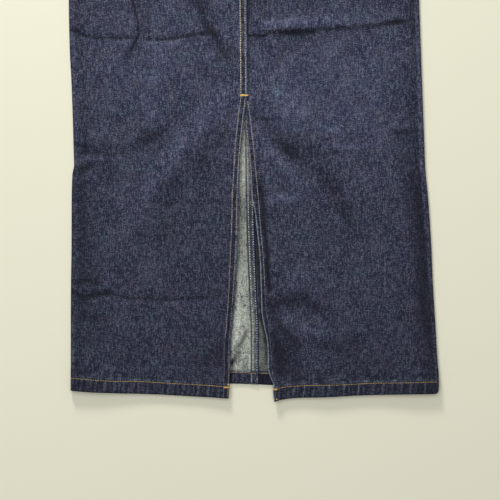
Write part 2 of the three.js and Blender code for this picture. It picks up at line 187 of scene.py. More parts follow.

# folds of the cloth: points, half width, height, and how much lighter or darker the cloth is there, as
# painted highlight or painted shade
leftFolds = [
    ([(-241.5, 482.0), (-231.1, 480.4), (-219.4, 474.9)], 2.3, -1.2, -0.6),
    ([(-223.3, 474.9), (-205.1, 471.9), (-173.9, 471.2), (-150.5, 471.5)], 2.1, -1.3, -0.6),
    ([(-221, 476), (-152, 473)], 5, -0.5, -0.14),
    ([(-149.2, 471.0), (-124.5, 468.4), (-102.4, 470.3), (-88.1, 473.6), (-69.9, 476.8),
       (-47.8, 478.8)], 2.2, -1.3, -0.58),
    ([(-122, 472), (-48, 479)], 5, -0.5, -0.16),
    ([(-195, 465), (-135, 462), (-72, 466)], 4.5, 0.5, 0.13),
    ([(-160.9, 532.1), (-155.7, 512.6), (-151.8, 499.6), (-149.4, 486.6), (-150.1, 474.9),
       (-153.7, 465.8), (-158.3, 456.7), (-161.5, 446.3)], 1.7, -1.2, -0.95),
    ([(-152, 548), (-146, 514), (-143, 493), (-144, 475)], 4.2, -0.7, -0.32),
    ([(-160, 511), (-156, 493), (-156, 475), (-161, 462)], 2.6, 0.4, 0.14),
    ([(-136, 542), (-136, 515), (-136, 496), (-135, 467)], 2.8, -0.8, -0.48),
    ([(-140, 540), (-139, 478)], 2.6, 0.6, 0.14),
    ([(-131, 540), (-130, 496), (-130, 441)], 5, 0.6, 0.18),
    ([(-91, 566), (-80, 535), (-71, 514), (-66, 502), (-60, 489), (-54, 478), (-46, 464),
       (-39, 452), (-30, 433)], 8.4, -1.5, -0.44),
    ([(-40, 514), (-25, 481)], 7, 0.3, -0.06),
    ([(-65, 483), (-45, 475)], 6.5, -0.8, -0.34),
    ([(-48, 464), (-34, 446)], 6, 0, -0.18),
    ([(-48, 488), (-27, 466)], 6, 0.8, 0.2),
    ([(-66, 467), (-52, 466)], 3, 0.5, 0.15),
    ([(-32, 438), (-26, 415)], 4, -0.5, -0.15),
    ([(-23, 396), (-41, 384), (-57, 368), (-71, 353), (-84, 337), (-97, 323), (-109, 307),
       (-121, 290), (-132, 271), (-145, 246)], 16, 2.5, 0.36),
    ([(-135, 314), (-167, 262), (-176, 197)], 17, 0, 0.08),
    ([(-106, 325), (-124, 316), (-140, 312)], 6, 0.5, 0.12),
    ([(-27, 353), (-44, 342), (-60, 329), (-66, 314), (-79, 298), (-96, 286), (-109, 271),
       (-122, 255), (-130, 241)], 16, -1.8, -0.3),
    ([(-61, 332), (-66, 303)], 10, -0.3, -0.2),
    ([(-109, 238), (-119, 207)], 13, -0.6, -0.22),
    ([(-231, 386), (-176, 363), (-124, 342)], 20, 0, -0.14),
    ([(-62, 397), (-88, 379), (-109, 360)], 9, -0.4, -0.12),
    ([(-184, 324), (-190, 285)], 15, 0, -0.17),
    ([(-216, 394), (-210, 360)], 14, 0, -0.07),
    ([(-132, 181), (-161, 132)], 16, 0, 0.06),
    ([(-109, 540), (-106, 478)], 8, 0.3, 0.27),
    ([(-88, 67), (-65, 41)], 12, 0, -0.14),
    ([(-141, 259), (-166, 220)], 10, 0.3, 0.1),
    ([(-205, 459), (-195, 444)], 9, 0, -0.08),
    ([(-106, 360), (-122, 348), (-138, 337), (-154, 329), (-176, 324), (-200, 324),
       (-231, 323)], 7, -1.3, -0.24),
    ([(-147, 336), (-117, 348)], 8, -0.6, -0.34),
    ([(-136, 394), (-127, 363)], 11.5, 1, 0.4),
    ([(-112, 470), (-122, 431), (-135, 405)], 13, 0.8, 0.32),
    ([(-239, 334), (-213, 330)], 3.2, -1, -0.42),
    ([(-239, 310), (-206, 313), (-166, 316)], 3.4, 1, 0.36),
    ([(-239, 299), (-202, 306)], 4.6, -0.8, -0.32),
    ([(-239, 110), (-182, 107)], 4.4, -0.6, -0.22),
    ([(-43, 73), (-37, 21)], 9, 0, -0.16),
    ([(-179, 97), (-156, 102)], 6, 0.4, 0.12),
    ([(-231.1, 322.8), (-193.4, 322.8)], 2.5, -0.6, -0.18),
    ([(-195, 316), (-153, 317)], 8, 0, -0.22),
    ([(-242, 143), (-226, 136), (-216, 134), (-204, 138), (-182, 143)], 4, -1.8, -0.52),
    ([(-239, 152), (-216, 157), (-195, 152)], 4.4, -1, -0.32),
    ([(-203.8, 146.0), (-188.2, 149.9)], 2.5, 0.6, 0.2),
    ([(-210, 128), (-187, 129)], 4, 0.4, 0.1),
    ([(-189.5, 140.1), (-163.5, 134.3), (-121.9, 132.3), (-82.9, 133.0), (-54.3, 134.9)], 2.2, -1, -0.4),
    ([(-179, 126), (-109, 126), (-26, 128)], 3.6, 0.4, 0.16),
    ([(-235, 51), (-226, 43), (-213, 39), (-196, 45)], 3, -0.9, -0.25),
    ([(-236, 41), (-218, 36)], 3, -0.5, -0.2),
    ([(-232.4, 259.7), (-173.9, 259.7)], 2.4, -0.5, -0.1),
    ([(-118, 255), (-70, 258), (-26, 258)], 2.6, -0.5, -0.18),
    ([(-221, 307), (-219, 151)], 24, 0, -0.12),
    ([(-63, 67), (-54, 38)], 18, -0.4, -0.1),
    ([(-164, 119), (-174, 93)], 10, 0.5, 0.1),
    ([(-138, 60), (-132, 51)], 8, 0, -0.08),
    ([(-135, 145), (-148, 181)], 12, 0.5, 0.06),
    ([(-128, 301), (-103, 294)], 10, 0, 0.1),
    ([(-74, 142), (-40, 140)], 9, 0, -0.18),
    ([(-172, 297), (-158, 292)], 8, 0, -0.16),
    ([(-48, 96), (-46, 52)], 9, 0, -0.12),
]
rightFolds = [
    ([(-8.8, 473.9), (15.9, 473.3)], 2, -1.5, -0.9),
    ([(65, 478), (47, 464), (28, 438)], 9, -0.8, -0.26),
    ([(-4, 468), (21, 459)], 6, -0.5, -0.26),
    ([(29, 477), (84, 478)], 6, 0, -0.42),
    ([(-5, 542), (-4, 484)], 3.4, -0.4, -0.3),
    ([(6, 540), (11, 488)], 5, -0.5, -0.18),
    ([(59, 540), (65, 493)], 3.4, -0.4, -0.15),
    ([(-9, 397), (0, 379), (11, 364)], 4, -0.8, -0.34),
    ([(0, 366), (24, 366)], 2.8, -0.9, -0.48),
    ([(11, 360), (24, 350), (38, 334), (51, 325), (67, 315), (84, 301), (96, 285), (110, 262),
       (128, 223)], 11, -1.9, -0.32),
    ([(26, 343), (56, 315)], 7.5, -0.7, -0.42),
    ([(72, 320), (94, 275)], 12, -0.4, 0),
    ([(39, 349), (73, 334), (100, 310), (117, 270)], 22, -0.6, -0.14),
    ([(43, 330), (57, 308)], 8.5, -0.4, -0.26),
    ([(115, 258), (143, 207)], 14, -0.4, -0.18),
    ([(55, 336), (89, 324)], 8, 0, -0.2),
    ([(8, 342), (29, 318), (48, 297), (67, 267)], 10, 1.5, 0.22),
    ([(18, 181), (63, 156)], 14, 0.6, 0.14),
    ([(18, 260), (60, 264)], 6.5, 0.7, 0.6),
    ([(29, 412), (63, 362)], 15, 1.3, 0.40),
    ([(77, 357), (116, 349)], 7.5, 0.8, 0.42),
    ([(180, 348), (203, 349)], 3.6, -0.9, -0.44),
    ([(176, 357), (200, 358)], 3, 0.5, 0.3),
    ([(94, 332), (125, 329), (164, 333)], 2.8, 0.5, 0.42),
    ([(99, 381), (125, 363)], 12, 0, 0.14),
    ([(171, 436), (174, 412), (172, 327)], 12, 0, -0.1),
    ([(11, 537), (11, 504)], 7, 0, -0.14),
    ([(169, 491), (195, 494)], 3.7, -0.8, -0.44),
    ([(200, 501), (204, 510)], 3, -0.5, -0.3),
    ([(69, 540), (69, 506)], 6, 0, -0.16),
    ([(67, 475), (84, 464)], 7, 0, -0.1),
    ([(76, 184), (89, 160)], 9, 0, 0.16),
    ([(96, 338), (134, 338)], 3, -0.4, -0.2),
    ([(6, 293), (11, 262), (14, 223), (17, 190), (19, 160), (21, 137)], 4, -1.2, -0.66),
    ([(21, 132), (28, 111), (38, 94), (51, 81), (65, 65)], 6, -1.6, -0.4),
    ([(24, 95), (30, 67), (38, 28)], 8, -1, -0.45),
    ([(38, 82), (59, 22)], 10, 0, -0.3),
    ([(15.9, 141.4), (23.7, 135.6), (32.8, 133.0)], 2, 0.7, 0.25),
    ([(24, 126), (41, 130), (54, 133), (70, 130), (94, 112)], 8, -1.6, -0.4),
    ([(34, 114), (50, 102), (65, 95), (84, 89), (104, 84)], 9, 1.7, 0.34),
    ([(81, 73), (112, 71), (138, 82)], 10, -0.8, -0.26),
    ([(47, 145), (74, 168)], 9, 0.9, 0.34),
    ([(77, 141), (110, 155)], 3, 0.5, 0.2),
    ([(18, 151), (28, 155)], 5, 0.3, 0.1),
    ([(119, 51), (180, 51)], 22, 0, -0.13),
    ([(55, 38), (190, 41)], 16, 0, -0.12),
    ([(136, 86), (128, 67)], 8, 0, -0.1),
    ([(42, 124), (58, 120)], 9, 0, -0.18),
    ([(26, 168), (36, 154)], 9, 0, -0.16),
    ([(187, 424), (186, 296)], 11, 0, -0.14),
    ([(224, 150), (228, 98)], 8, 0, -0.2),
    ([(186, 108), (186, 96)], 8, 0, -0.16),
    ([(70, 338), (70, 296)], 8, 0, -0.08),
    ([(92, 496), (124, 494)], 9, 0, 0.16),
]
upperFolds = [
    ([(-170, 640), (-120, 628), (-70, 610)], 22, 1.4, 0.06),
    ([(60, 590), (110, 622), (165, 650)], 20, 1.5, 0.06),
    ([(-210, 560), (-170, 568), (-130, 560)], 5, -1.1, -0.22),
    ([(-215, 640), (-190, 622), (-172, 618)], 5, 0.9, 0.14),
    ([(-190, 600), (-150, 590), (-96, 596)], 14, -1, -0.12),
    ([(40, 560), (70, 575), (120, 572)], 6, -1.2, -0.22),
    ([(120, 700), (150, 680), (190, 676)], 6, 1, 0.14),
    ([(100, 686), (130, 664), (176, 652)], 11, -1.1, -0.14),
    ([(-180, 760), (-150, 740), (-128, 742)], 5, -0.9, -0.2),
    ([(-120, 700), (-84, 690), (-60, 660)], 13, -1, -0.12),
    ([(30, 800), (48, 770), (52, 735)], 6, -0.9, -0.18),
    ([(90, 820), (102, 790), (98, 760)], 6, 0.8, 0.12),
    ([(-90, 800), (-100, 770), (-92, 730)], 7, 0.8, 0.12),
    ([(-60, 820), (-66, 790), (-60, 750)], 6, -0.7, -0.16),
    ([(140, 800), (146, 770), (138, 745)], 6, -0.7, -0.16),
]


# distance from a line of points, and how far along it each place is
def fromLine(points, x, up):
    best = np.full(np.shape(x), 1e9)
    share = np.zeros(np.shape(x))
    count = len(points) - 1
    for k in range(count):
        (x0, up0), (x1, up1) = points[k], points[k + 1]
        runX, runUp = x1 - x0, up1 - up0
        t = np.clip(((x - x0) * runX + (up - up0) * runUp) / (runX ** 2 + runUp ** 2), 0, 1)
        away = np.hypot(x - x0 - t * runX, up - up0 - t * runUp)
        share = np.where(away < best, (k + t) / count, share)
        best = np.minimum(best, away)
    return best, share


# relief, and painted shade and painted highlight, of all the folds at once
def foldField(x, up):
    height = np.zeros(np.shape(x))
    tone = np.zeros(np.shape(x))
    for points, half, crest, colour in leftFolds + rightFolds + upperFolds:
        away, share = fromLine(points, x, up)
        strength = mark(away, half) * np.clip(9 * share * (1 - share) + 0.2, 0, 1)  # fades at both ends
        height += crest * strength
        tone += colour * strength
    away = up - ridgePlace(x)
    onRight = ridgeHeight(x) * (x > 8)
    look = ridgeLook
    height += onRight * np.where(away > 0, mark(away, look["above"]), mark(away, look["below"]))
    # painted highlight above the storage ridge's crest, painted shade below it
    bright = look["litInside"] * blend(x, 125, 55) + look["lit"]
    tone += np.clip(onRight, 0, 1) * (bright * mark(away - look["litAt"], look["litHalf"])
                                      - look["shaded"] * mark(away + look["shadedAt"], look["shadedHalf"]))
    return height, tone


# heights of the cloth's relief
relief = dict(
    slack=1.5,            # usual lift of the front off the back
    leastSlack=0.05,
    wave=0.35,
    uneven=0.09,
    sideRidge=0.8,        # seam allowance inside the right side
    besideRidge=-1.0,
    slitFlap=1.1,         # how far the slit's right edge turns up
    stitchRow=0.35,       # dents along the stitch rows
    hemRow=0.45,
    backRow=0.25,
    pucker=0.14,
    hemRibs=0.15,
    backOffFloor=0.25,    # the back's outside lies on its stitching
    backWrinkle=0.5,
    backUneven=0.07,
)


# slow unevenness, a few waves that don't repeat within the skirt
def unevenness(x, up):
    return (0.5 * np.sin(x / 13.7 + 2.1 * np.sin(up / 61)) * np.sin(up / 17.3 + 1.7 * np.sin(x / 43))
            + 0.5 * np.sin(x / 29 - up / 37 + 1.3 * np.sin(up / 90)))


# height above the hem's edge, which isn't straight
def aboveHem(hem, x, up):
    row = up - hem(x)
    for _ in range(3):
        row = up - hem(x) * blend(row, skirt["hemBlend"], 0)
    return row


def backTop(x, up):
    hem = (skirt["hemWall"] - skirt["cloth"]) * blend(up, skirt["backHemTop"] + 6, skirt["backHemTop"])
    fromSeam = np.abs(x - backSeam(up) - skirt["fellWidth"] / 2)
    return skirt["cloth"] + np.maximum(hem, lapRise * blend(fromSeam, 60, 24))


# underside of the front cloth away from its seams
def frontUnder(x, up):
    wave = relief["wave"] * np.sin(x / 47 + up / 120) * np.sin(up / 83 - x / 140)
    fine = foldField(x, up)[0] + relief["uneven"] * unevenness(x, up)
    lift = hemLift(x) * blend(up, 130, 0)
    slack = np.maximum(relief["leastSlack"], relief["slack"] + wave + fine + lift)
    return backTop(x, up) + skirt["gap"] + slack


def frontInner(isLeft, row):
    if isLeft:
        return lapEdge(row)
    tongue = lapEdge(row) - skirt["fellWidth"]
    above = blend(row, skirt["slitTop"] + 2, skirt["slitTop"] + 5)
    return slitRight(row) * (1 - above) + tongue * above


# where a place on a front panel lies in it
def frontPlace(isLeft, x, up):
    outward = -1 if isLeft else 1
    row = aboveHem(frontHem, x, up)
    side = (leftSide if isLeft else rightSide)(up)
    return row, outward * (side - x), outward * (x - frontInner(isLeft, row))


# dent that a stitch row pulls into the cloth
def dent(distance, place, depth, half=1.3):
    return -depth * mark(distance - place, half)


# ropy ribs of a turned edge, of uneven pitch
def roping(across, along, depth):
    lean = along - 0.12 * across
    return depth * (0.62 * np.sin(lean + 1.2 * np.sin(along / 31))
                    + 0.36 * np.sin(lean / 1.63 + 2 * np.sin(along / 19))
                    + 0.26 * np.sin(lean / 2.6 + 1.4 * np.sin(along / 47)))


# the turn-up is a little deeper towards the left side
def hemRow(row, x):
    return row - 1.2 * blend(x, -150, -235) * blend(row, 4, 14)


def hemRelief(row, x):
    row = hemRow(row, x)
    band = blend(row, skirt["hemDepth"] + 0.6, skirt["hemDepth"] - 1.2)
    thick = (skirt["hemWall"] - skirt["cloth"]) * band
    inBand = blend(row, 0.5, 4) * blend(row, skirt["hemStitch"] - 1, skirt["hemStitch"] - 5)
    stitched = dent(row, skirt["hemStitch"], relief["hemRow"])
    return thick + roping(row, x, relief["hemRibs"]) * inBand + stitched


def frontSurfaces(isLeft, x, up):
    row, fromSide, fromInner = frontPlace(isLeft, x, up)
    lying = frontUnder(x, up)
    edgeLevel = backTop(x, up) + skirt["gap"]
    closed = blend(row, skirt["slitTop"] - 1, skirt["slitTop"] + 2)
    lap = lapRise * blend(fromInner, skirt["fellWidth"] + 1.6, skirt["fellWidth"] - 0.4)
    if isLeft:
        flyHeight = skirt["flyRise"] * blend(row, flyBottom - 10, flyBottom + 8)
        fly = flyHeight * blend(fromInner, skirt["flyWidth"] + skirt["flySlope"], skirt["flyWidth"])
        rise = np.maximum(lap, fly)
        lifted = rise * closed
        flap = ridge = dip = 0
        sewnRows, rowsShow = (leftOuter, leftInner), 1
    else:
        rise = lap * (1 - closed)
        width = ridgeWidth(up)
        ridge = relief["sideRidge"] * blend(fromSide, width + 1.0, width - 0.6)
        dip = relief["besideRidge"] * blend(fromSide, 24, 9) * blend(fromSide, width, width + 2.5)
        dip = dip * blend(up, 10, 100)
        lifted = relief["slitFlap"] * blend(fromInner, 12, 0) * (1 - closed) * blend(row, 300, 200)
        flap = lifted
        sewnRows, rowsShow = (rightOuter, rightInner), 1 - closed
    dents = sum(dent(x, sewnRow(up), relief["stitchRow"], 1.1) for sewnRow in sewnRows) * rowsShow
    gathered = relief["pucker"] * np.sin(up / 2.1 + 0.8 * np.sin(up / 9))
    puckers = dents + gathered * blend(fromInner, 11, 2) * rowsShow
    hem = hemRelief(row, x)
    extra = np.sqrt(rise ** 2 + np.maximum(hem, 0) ** 2 + ridge ** 2) + np.minimum(hem, 0) + puckers
    under = edgeLevel + (lying + lifted + dip - edgeLevel) * blend(fromSide, 1.4, 3.2)
    under = np.maximum(under, edgeLevel - 0.15)
    top = lying + skirt["cloth"] + extra + dip + flap
    corner = rounded(fromSide, skirt["edgeRound"])
    top = (edgeLevel + skirt["cloth"] / 2) * (1 - corner) + top * corner
    turned = rounded(np.minimum(fromInner, row + 0.15), 1.1)
    top = under + (top - under) * (0.35 + 0.65 * turned)
    return under, top


def backInner(isLeft, row):
    return backSeam(row) + (skirt["fellWidth"] if isLeft else skirt["gap"])


def backPlace(isLeft, x, up):
    outward = -1 if isLeft else 1
    row = aboveHem(backHem, x, up)
    side = (leftSide if isLeft else rightSide)(up)
    return row, outward * (side - x), outward * (x - backInner(isLeft, row))


def backSurfaces(isLeft, x, up):
    row, fromSide, fromInner = backPlace(isLeft, x, up)
    hem = hemRelief(row, x)
    fromWrinkle = fromLine([(-4, 97), (-18, 84), (-31, 66)], x, up)[0]
    fine = relief["backWrinkle"] * mark(fromWrinkle, 3.0) + relief["backUneven"] * unevenness(x * 1.3, up)
    base = np.full(np.shape(x), relief["backOffFloor"])
    if isLeft:
        lap = blend(fromInner, skirt["fellWidth"] + 1.2, skirt["fellWidth"] - 0.3)
        rows = sum(dent(fromInner, place, relief["backRow"]) for place in skirt["backRows"])
        under = base + (lapRise - relief["backOffFloor"] + 0.1) * lap
        lying = skirt["cloth"] + lapRise * lap + rows + hem * (1 - 0.4 * lap) + fine
        top = np.maximum(under + 0.9, lying)
        top = under + (top - under) * (0.35 + 0.65 * rounded(fromInner, 0.9))
    else:
        clear = blend(fromInner, skirt["fellWidth"] + 0.6, skirt["fellWidth"] + 2.2)
        under = base
        top = np.maximum(under + 0.7, skirt["cloth"] - 0.15 * (1 - clear) + (hem + fine) * clear)
    top = top - 0.35 * (1 - rounded(fromSide - 0.2, 1.0))
    top = under + (top - under) * (0.4 + 0.6 * rounded(row + 0.2, 1.1))
    return under, top


# columns across a panel: close by the side and the inner edge, and crowded round one place between
def columnPlaces(sideSteps, innerSteps, count, centre, width, amount):
    fine = np.linspace(0, 1, 500)
    crowd = np.cumsum(1 + amount * np.exp(-((fine - centre) / width) ** 2))
    shared = np.interp(np.arange(1, count) / count, (crowd - crowd[0]) / (crowd[-1] - crowd[0]), fine)
    last, first = sideSteps[-1], innerSteps[0]
    share = np.concatenate((np.zeros(len(sideSteps)), shared, np.ones(len(innerSteps))))
    inset = np.concatenate((np.array(sideSteps, float), last * (1 - shared) - first * shared,
                            -np.array(innerSteps, float)))
    return share, inset


# closed shell over a grid of places; rims and chosen bands take another material
def shell(name, x, up, under, top, topFaces, underFaces, rimFaces, tones, underTones=None):
    rows, columns = x.shape
    flat = np.concatenate([
        np.stack([x * mm, (up - skirt["length"] / 2) * mm, z * mm], axis=-1).reshape(-1, 3)
        for z in (under, top)])
    index = np.arange(rows * columns).reshape(rows, columns)
    a, b, c, d = index[:-1, :-1], index[:-1, 1:], index[1:, 1:], index[1:, :-1]
    over = rows * columns
    upper = np.stack([a, b, c, d], -1).reshape(-1, 4) + over
    lower = np.stack([a, d, c, b], -1).reshape(-1, 4)
    near, far = index[0], index[-1]
    first, last = index[:, 0], index[:, -1]
    rims = [
        np.stack([near[:-1], near[1:], near[1:] + over, near[:-1] + over], -1),
        np.stack([far[1:], far[:-1], far[:-1] + over, far[1:] + over], -1),
        np.stack([first[1:], first[:-1], first[:-1] + over, first[1:] + over], -1),
        np.stack([last[:-1], last[1:], last[1:] + over, last[:-1] + over], -1),
    ]
    faces = np.concatenate([upper, lower] + rims)
    slots = np.concatenate([topFaces.reshape(-1), underFaces.reshape(-1),
                            np.full(len(faces) - len(upper) - len(lower), rimFaces)]).astype(int)
    if x[0, -1] < x[0, 0]:
        faces = faces[:, ::-1]
    mesh = bpy.data.meshes.new(name)
    mesh.from_pydata(flat.tolist(), [], faces.tolist())
    mesh.polygons.foreach_set("material_index", slots)
    mesh.polygons.foreach_set("use_smooth", np.ones(len(faces), bool))
    for attribute, values in tones.items():
        layer = mesh.attributes.new(attribute, "FLOAT", "POINT")
        below = (underTones or tones)[attribute]
        both = np.concatenate((below.reshape(-1), values.reshape(-1)))
        layer.data.foreach_set("value", both.astype(np.float32))
    mesh.update()
    piece = bpy.data.objects.new(name, mesh)
    bpy.context.collection.objects.link(piece)
    return piece


def rowPlaces(stretches):
    return np.concatenate([np.arange(start, end, step) for start, end, step in stretches] + [[panelTop]])


# a socket's value in an expression; each operator adds the Math node for it
class Value:
    def __init__(self, tree, socket=None):
        self.tree, self.socket = tree, socket

    def node(self, kind, settings=None, inputs=None, output=0):
        made = self.tree.nodes.new(kind)
        for name, setting in (settings or {}).items():
            if name == "stops":
                ramp = made.color_ramp
                while len(ramp.elements) < len(setting):
                    ramp.elements.new(0.5)
                for element, (position, colour) in zip(ramp.elements, setting):
                    element.position = position
                    element.color = (*colour, 1)
            else:
                setattr(made, name, setting)
        for place, value in (inputs or {}).items():
            if isinstance(value, Value):
                self.tree.links.new(value.socket, made.inputs[place])
            else:
                made.inputs[place].default_value = value
        return Value(self.tree, made.outputs[output])

    def math(self, operation, *values, **settings):
        return self.node("ShaderNodeMath", {"operation": operation, **settings}, dict(enumerate(values)))

    def __add__(self, other):
        return self.math("ADD", self, other)

    def __mul__(self, other):
        return self.math("MULTIPLY", self, other)

    def __sub__(self, other):
        return self.math("SUBTRACT", self, other)

    def __rsub__(self, other):
        return self.math("SUBTRACT", other, self)

    __radd__ = __add__
    __rmul__ = __mul__

    def sine(self):
        return self.math("SINE", self)

    def clamped(self):
        return self.math("ADD", self, 0.0, use_clamp=True)

    # 0 up to start, 1 from end on
    def between(self, start, end):
        inputs = {"Value": self, "From Min": start, "From Max": end}
        return self.node("ShaderNodeMapRange", {"interpolation_type": "SMOOTHSTEP"}, inputs)


def mixed(amount, first, second, kind="MIX"):
    source = next(v for v in (amount, first, second) if isinstance(v, Value))
    colours = [v if isinstance(v, Value) else (*v, 1) for v in (first, second)]
    settings = {"data_type": "RGBA", "blend_type": kind}
    return source.node("ShaderNodeMix", settings, {0: amount, 6: colours[0], 7: colours[1]}, 2)


# new material: its shader's fixed values are set here, what varies is linked by the caller
def newMaterial(name, **fixed):
    material = bpy.data.materials.new(name)
    material.use_nodes = True
    tree = material.node_tree
    shader = tree.nodes["Principled BSDF"]
    for socket, value in fixed.items():
        shader.inputs[socket.replace("_", " ")].default_value = value
    start = Value(tree)
    place = start.node("ShaderNodeTexCoord", output=3)
    return material, shader, place


# noise with features of the given width and length on the cloth, in mm
def noise(place, across, along, detail=0.0, rough=0.5, shift=0.0):
    scale = (1000 / across, 1000 / along, 300 / across)
    moved = place.node("ShaderNodeMapping", None, {"Vector": place, "Scale": scale,
                                                   "Location": (shift, shift, shift)})
    return place.node("ShaderNodeTexNoise", None, {
        "Vector": moved, "Scale": 1.0, "Detail": detail, "Roughness": rough})


def attribute(place, name):
    return place.node("ShaderNodeAttribute", {"attribute_name": name}, output=2)


def link(value, shader, socket):
    value.tree.links.new(value.socket, shader.inputs[socket])


def bump(height, strength, distance):
    return height.node("ShaderNodeBump", None, {
        "Height": height, "Strength": strength, "Distance": distance})


def parts(place):
    split = place.node("ShaderNodeSeparateXYZ", None, {"Vector": place})
    node = split.socket.node
    return [Value(place.tree, node.outputs[k]) for k in range(3)]


denimLook = dict(
    deep=(0.0122, 0.0150, 0.0405),
    light=(0.130, 0.140, 0.211),
    greyLight=(0.141, 0.143, 0.195),
    tealLight=(0.118, 0.151, 0.205),
    shadow=(0.0030, 0.0040, 0.0105),
    worn=(0.225, 0.280, 0.355),
    navy=(0.020, 0.028, 0.075),
    wrongDark=(0.045, 0.052, 0.070),
    wrongLight=(0.49, 0.53, 0.45),
    twillAcross=1.15,     # mm between the twill's lines
    twillRise=2.3,
    grain=(1.35, 1.5),    # mm, sizes of the speckles and streaks that the cloth shows from afar
    speckle=(4.2, 5.4),
    warp=(1.25, 7.0),
    weft=(4.6, 1.25),
)


# weave height and speckle that both sides of the cloth share
def weave(place):
    x, y, _ = parts(place)
    turn = 2 * math.pi * 1000
    twill = (x * (turn / denimLook["twillAcross"]) + y * (turn / denimLook["twillRise"])
             + noise(place, 5, 9) * 2.0).sine()
    yarn = noise(place, *denimLook["warp"], 1.0) + noise(place, *denimLook["weft"], 1.0, shift=3.0) * 0.8
    grain = noise(place, *denimLook["grain"], shift=7.0)
    speckle = noise(place, *denimLook["speckle"], 3.0, 0.75)
    slub = noise(place, 1.5, 16, 1.5, shift=5.0)
    patch = noise(place, 26, 36, 2.0, shift=2.0)
    return twill, yarn, grain, speckle, slub, patch


# darker towards the given shadow colour, or lighter
def shaded(colour, shade, shadow):
    darker = mixed((0 - shade).clamped(), colour, shadow)
    inputs = {0: darker, "Scale": 1 + shade.clamped()}
    return darker.node("ShaderNodeVectorMath", {"operation": "SCALE"}, inputs)


def denimFace():
    material, shader, place = newMaterial(
        "dark_indigo_denim", Roughness=0.88, Specular_IOR_Level=0.22, Sheen_Weight=0.12,
        Sheen_Roughness=0.45)
    twill, yarn, grain, speckle, slub, patch = weave(place)
    shade = attribute(place, "shade")
    contrast = 1 + (0 - shade).clamped() * 1.1 - shade.clamped() * 0.45
    uneven = ((speckle - 0.5) * 0.96 + (grain - 0.5) * 1.22 + (slub - 0.5) * 0.7 + (yarn - 0.9) * 1.15
              + twill * 0.04) * contrast
    light = 0.238 + uneven * (1 + uneven * 0.9) + (patch - 0.5) * 0.5
    tint = noise(place, 14, 18, 2.0, shift=9.0).between(0.44, 0.68)
    pale = mixed(tint, denimLook["light"], denimLook["greyLight"])
    pale = mixed(noise(place, 19, 24, 2.0, shift=4.0).between(0.5, 0.68), pale, denimLook["tealLight"])
    colour = shaded(mixed(light.clamped(), denimLook["deep"], pale), shade, denimLook["shadow"])
    rubbed = (attribute(place, "worn") * (0.75 + (grain - 0.5) * 2.4)).clamped()
    link(mixed(rubbed, colour, denimLook["worn"]), shader, "Base Color")
    height = twill * 0.22 + yarn * 0.6 + grain * 0.8
    link(bump(height, 0.55, 0.00035), shader, "Normal")
    return material


def denimWrongSide():
    material, shader, place = newMaterial(
        "denim_wrong_side", Roughness=0.93, Specular_IOR_Level=0.18)
    twill, yarn, grain, speckle, slub, patch = weave(place)
    light = (0.58 + (speckle - 0.5) * 1.7 + (grain - 0.5) * 1.1 + (slub - 0.5) * 0.8
             + (yarn - 0.9) * 0.7 + (patch - 0.5) * 0.8 + twill * 0.06)
    colour = mixed(light.clamped(), denimLook["wrongDark"], denimLook["wrongLight"])
    colour = shaded(colour, attribute(place, "shade"), denimLook["shadow"])
    colour = mixed(attribute(place, "navy"), colour, denimLook["navy"])
    link(colour, shader, "Base Color")
    height = twill * 0.2 + yarn * 0.6 + grain * 0.9
    link(bump(height, 0.5, 0.00035), shader, "Normal")
    return material


def thread(name, dark, light):
    material, shader, place = newMaterial(name, Roughness=0.62, Specular_IOR_Level=0.35, Sheen_Weight=0.1)
    ply = attribute(place, "ply")
    tone = attribute(place, "tone")
    fuzz = noise(place, 0.5, 0.5, 1.0)
    twist = (ply * (2 * math.pi)).sine()
    # the twist term gives painted shade and painted highlight along the thread's plies
    colour = mixed((tone + twist * 0.2 + (fuzz - 0.5) * 0.8).clamped(), dark, light)
    link(colour, shader, "Base Color")
    link(bump(twist, 0.5, 0.00012), shader, "Normal")
    return material


def tapeMaterial():
    material, shader, place = newMaterial("zip_tape", Roughness=0.85, Specular_IOR_Level=0.25)
    x, y, _ = parts(place)
    rib = (y * (2 * math.pi * 1000 / 0.9)).sine() * (x * (2 * math.pi * 1000 / 1.3)).sine()
    toneStrength = noise(place, 3, 9, 2.0)
    colour = mixed((0.5 + rib * 0.2 + (toneStrength - 0.5)).clamped(), (0.012, 0.014, 0.026), (0.035, 0.04, 0.07))
    link(colour, shader, "Base Color")
    link(bump(rib, 0.4, 0.0002), shader, "Normal")
    return material


def metalMaterial():
    material, shader, place = newMaterial("aged_copper", Metallic=1.0)
    tarnish = noise(place, 2.4, 2.4, 4.0, 0.6)
    scratch = noise(place, 0.25, 3.0, 2.0, shift=3.0)
    low = noise(place, 1.2, 1.2, 3.0, 0.7, shift=1.0)
    colour = mixed(tarnish.between(0.35, 0.68), (0.15, 0.085, 0.05), (0.56, 0.33, 0.18))
    link(colour, shader, "Base Color")
    link((0.28 + tarnish * 0.25 + (scratch - 0.5) * 0.2).clamped(), shader, "Roughness")
    link(bump(low + scratch * 0.4, 0.25, 0.00015), shader, "Normal")
    return material


def floorMaterial():
    material, shader, place = newMaterial("cream_surface", Roughness=0.7, Specular_IOR_Level=0.2)
    cloud = noise(place, 240, 240, 3.0)
    tooth = noise(place, 3, 3, 2.0, shift=4.0)
    pale = (0.5 + (cloud - 0.5) * 0.8 + (tooth - 0.5) * 0.3).clamped()
    link(mixed(pale, (0.80, 0.785, 0.625), (0.825, 0.81, 0.65)), shader, "Base Color")
    return material


rightSideCloth = denimFace()
wrongSideCloth = denimWrongSide()
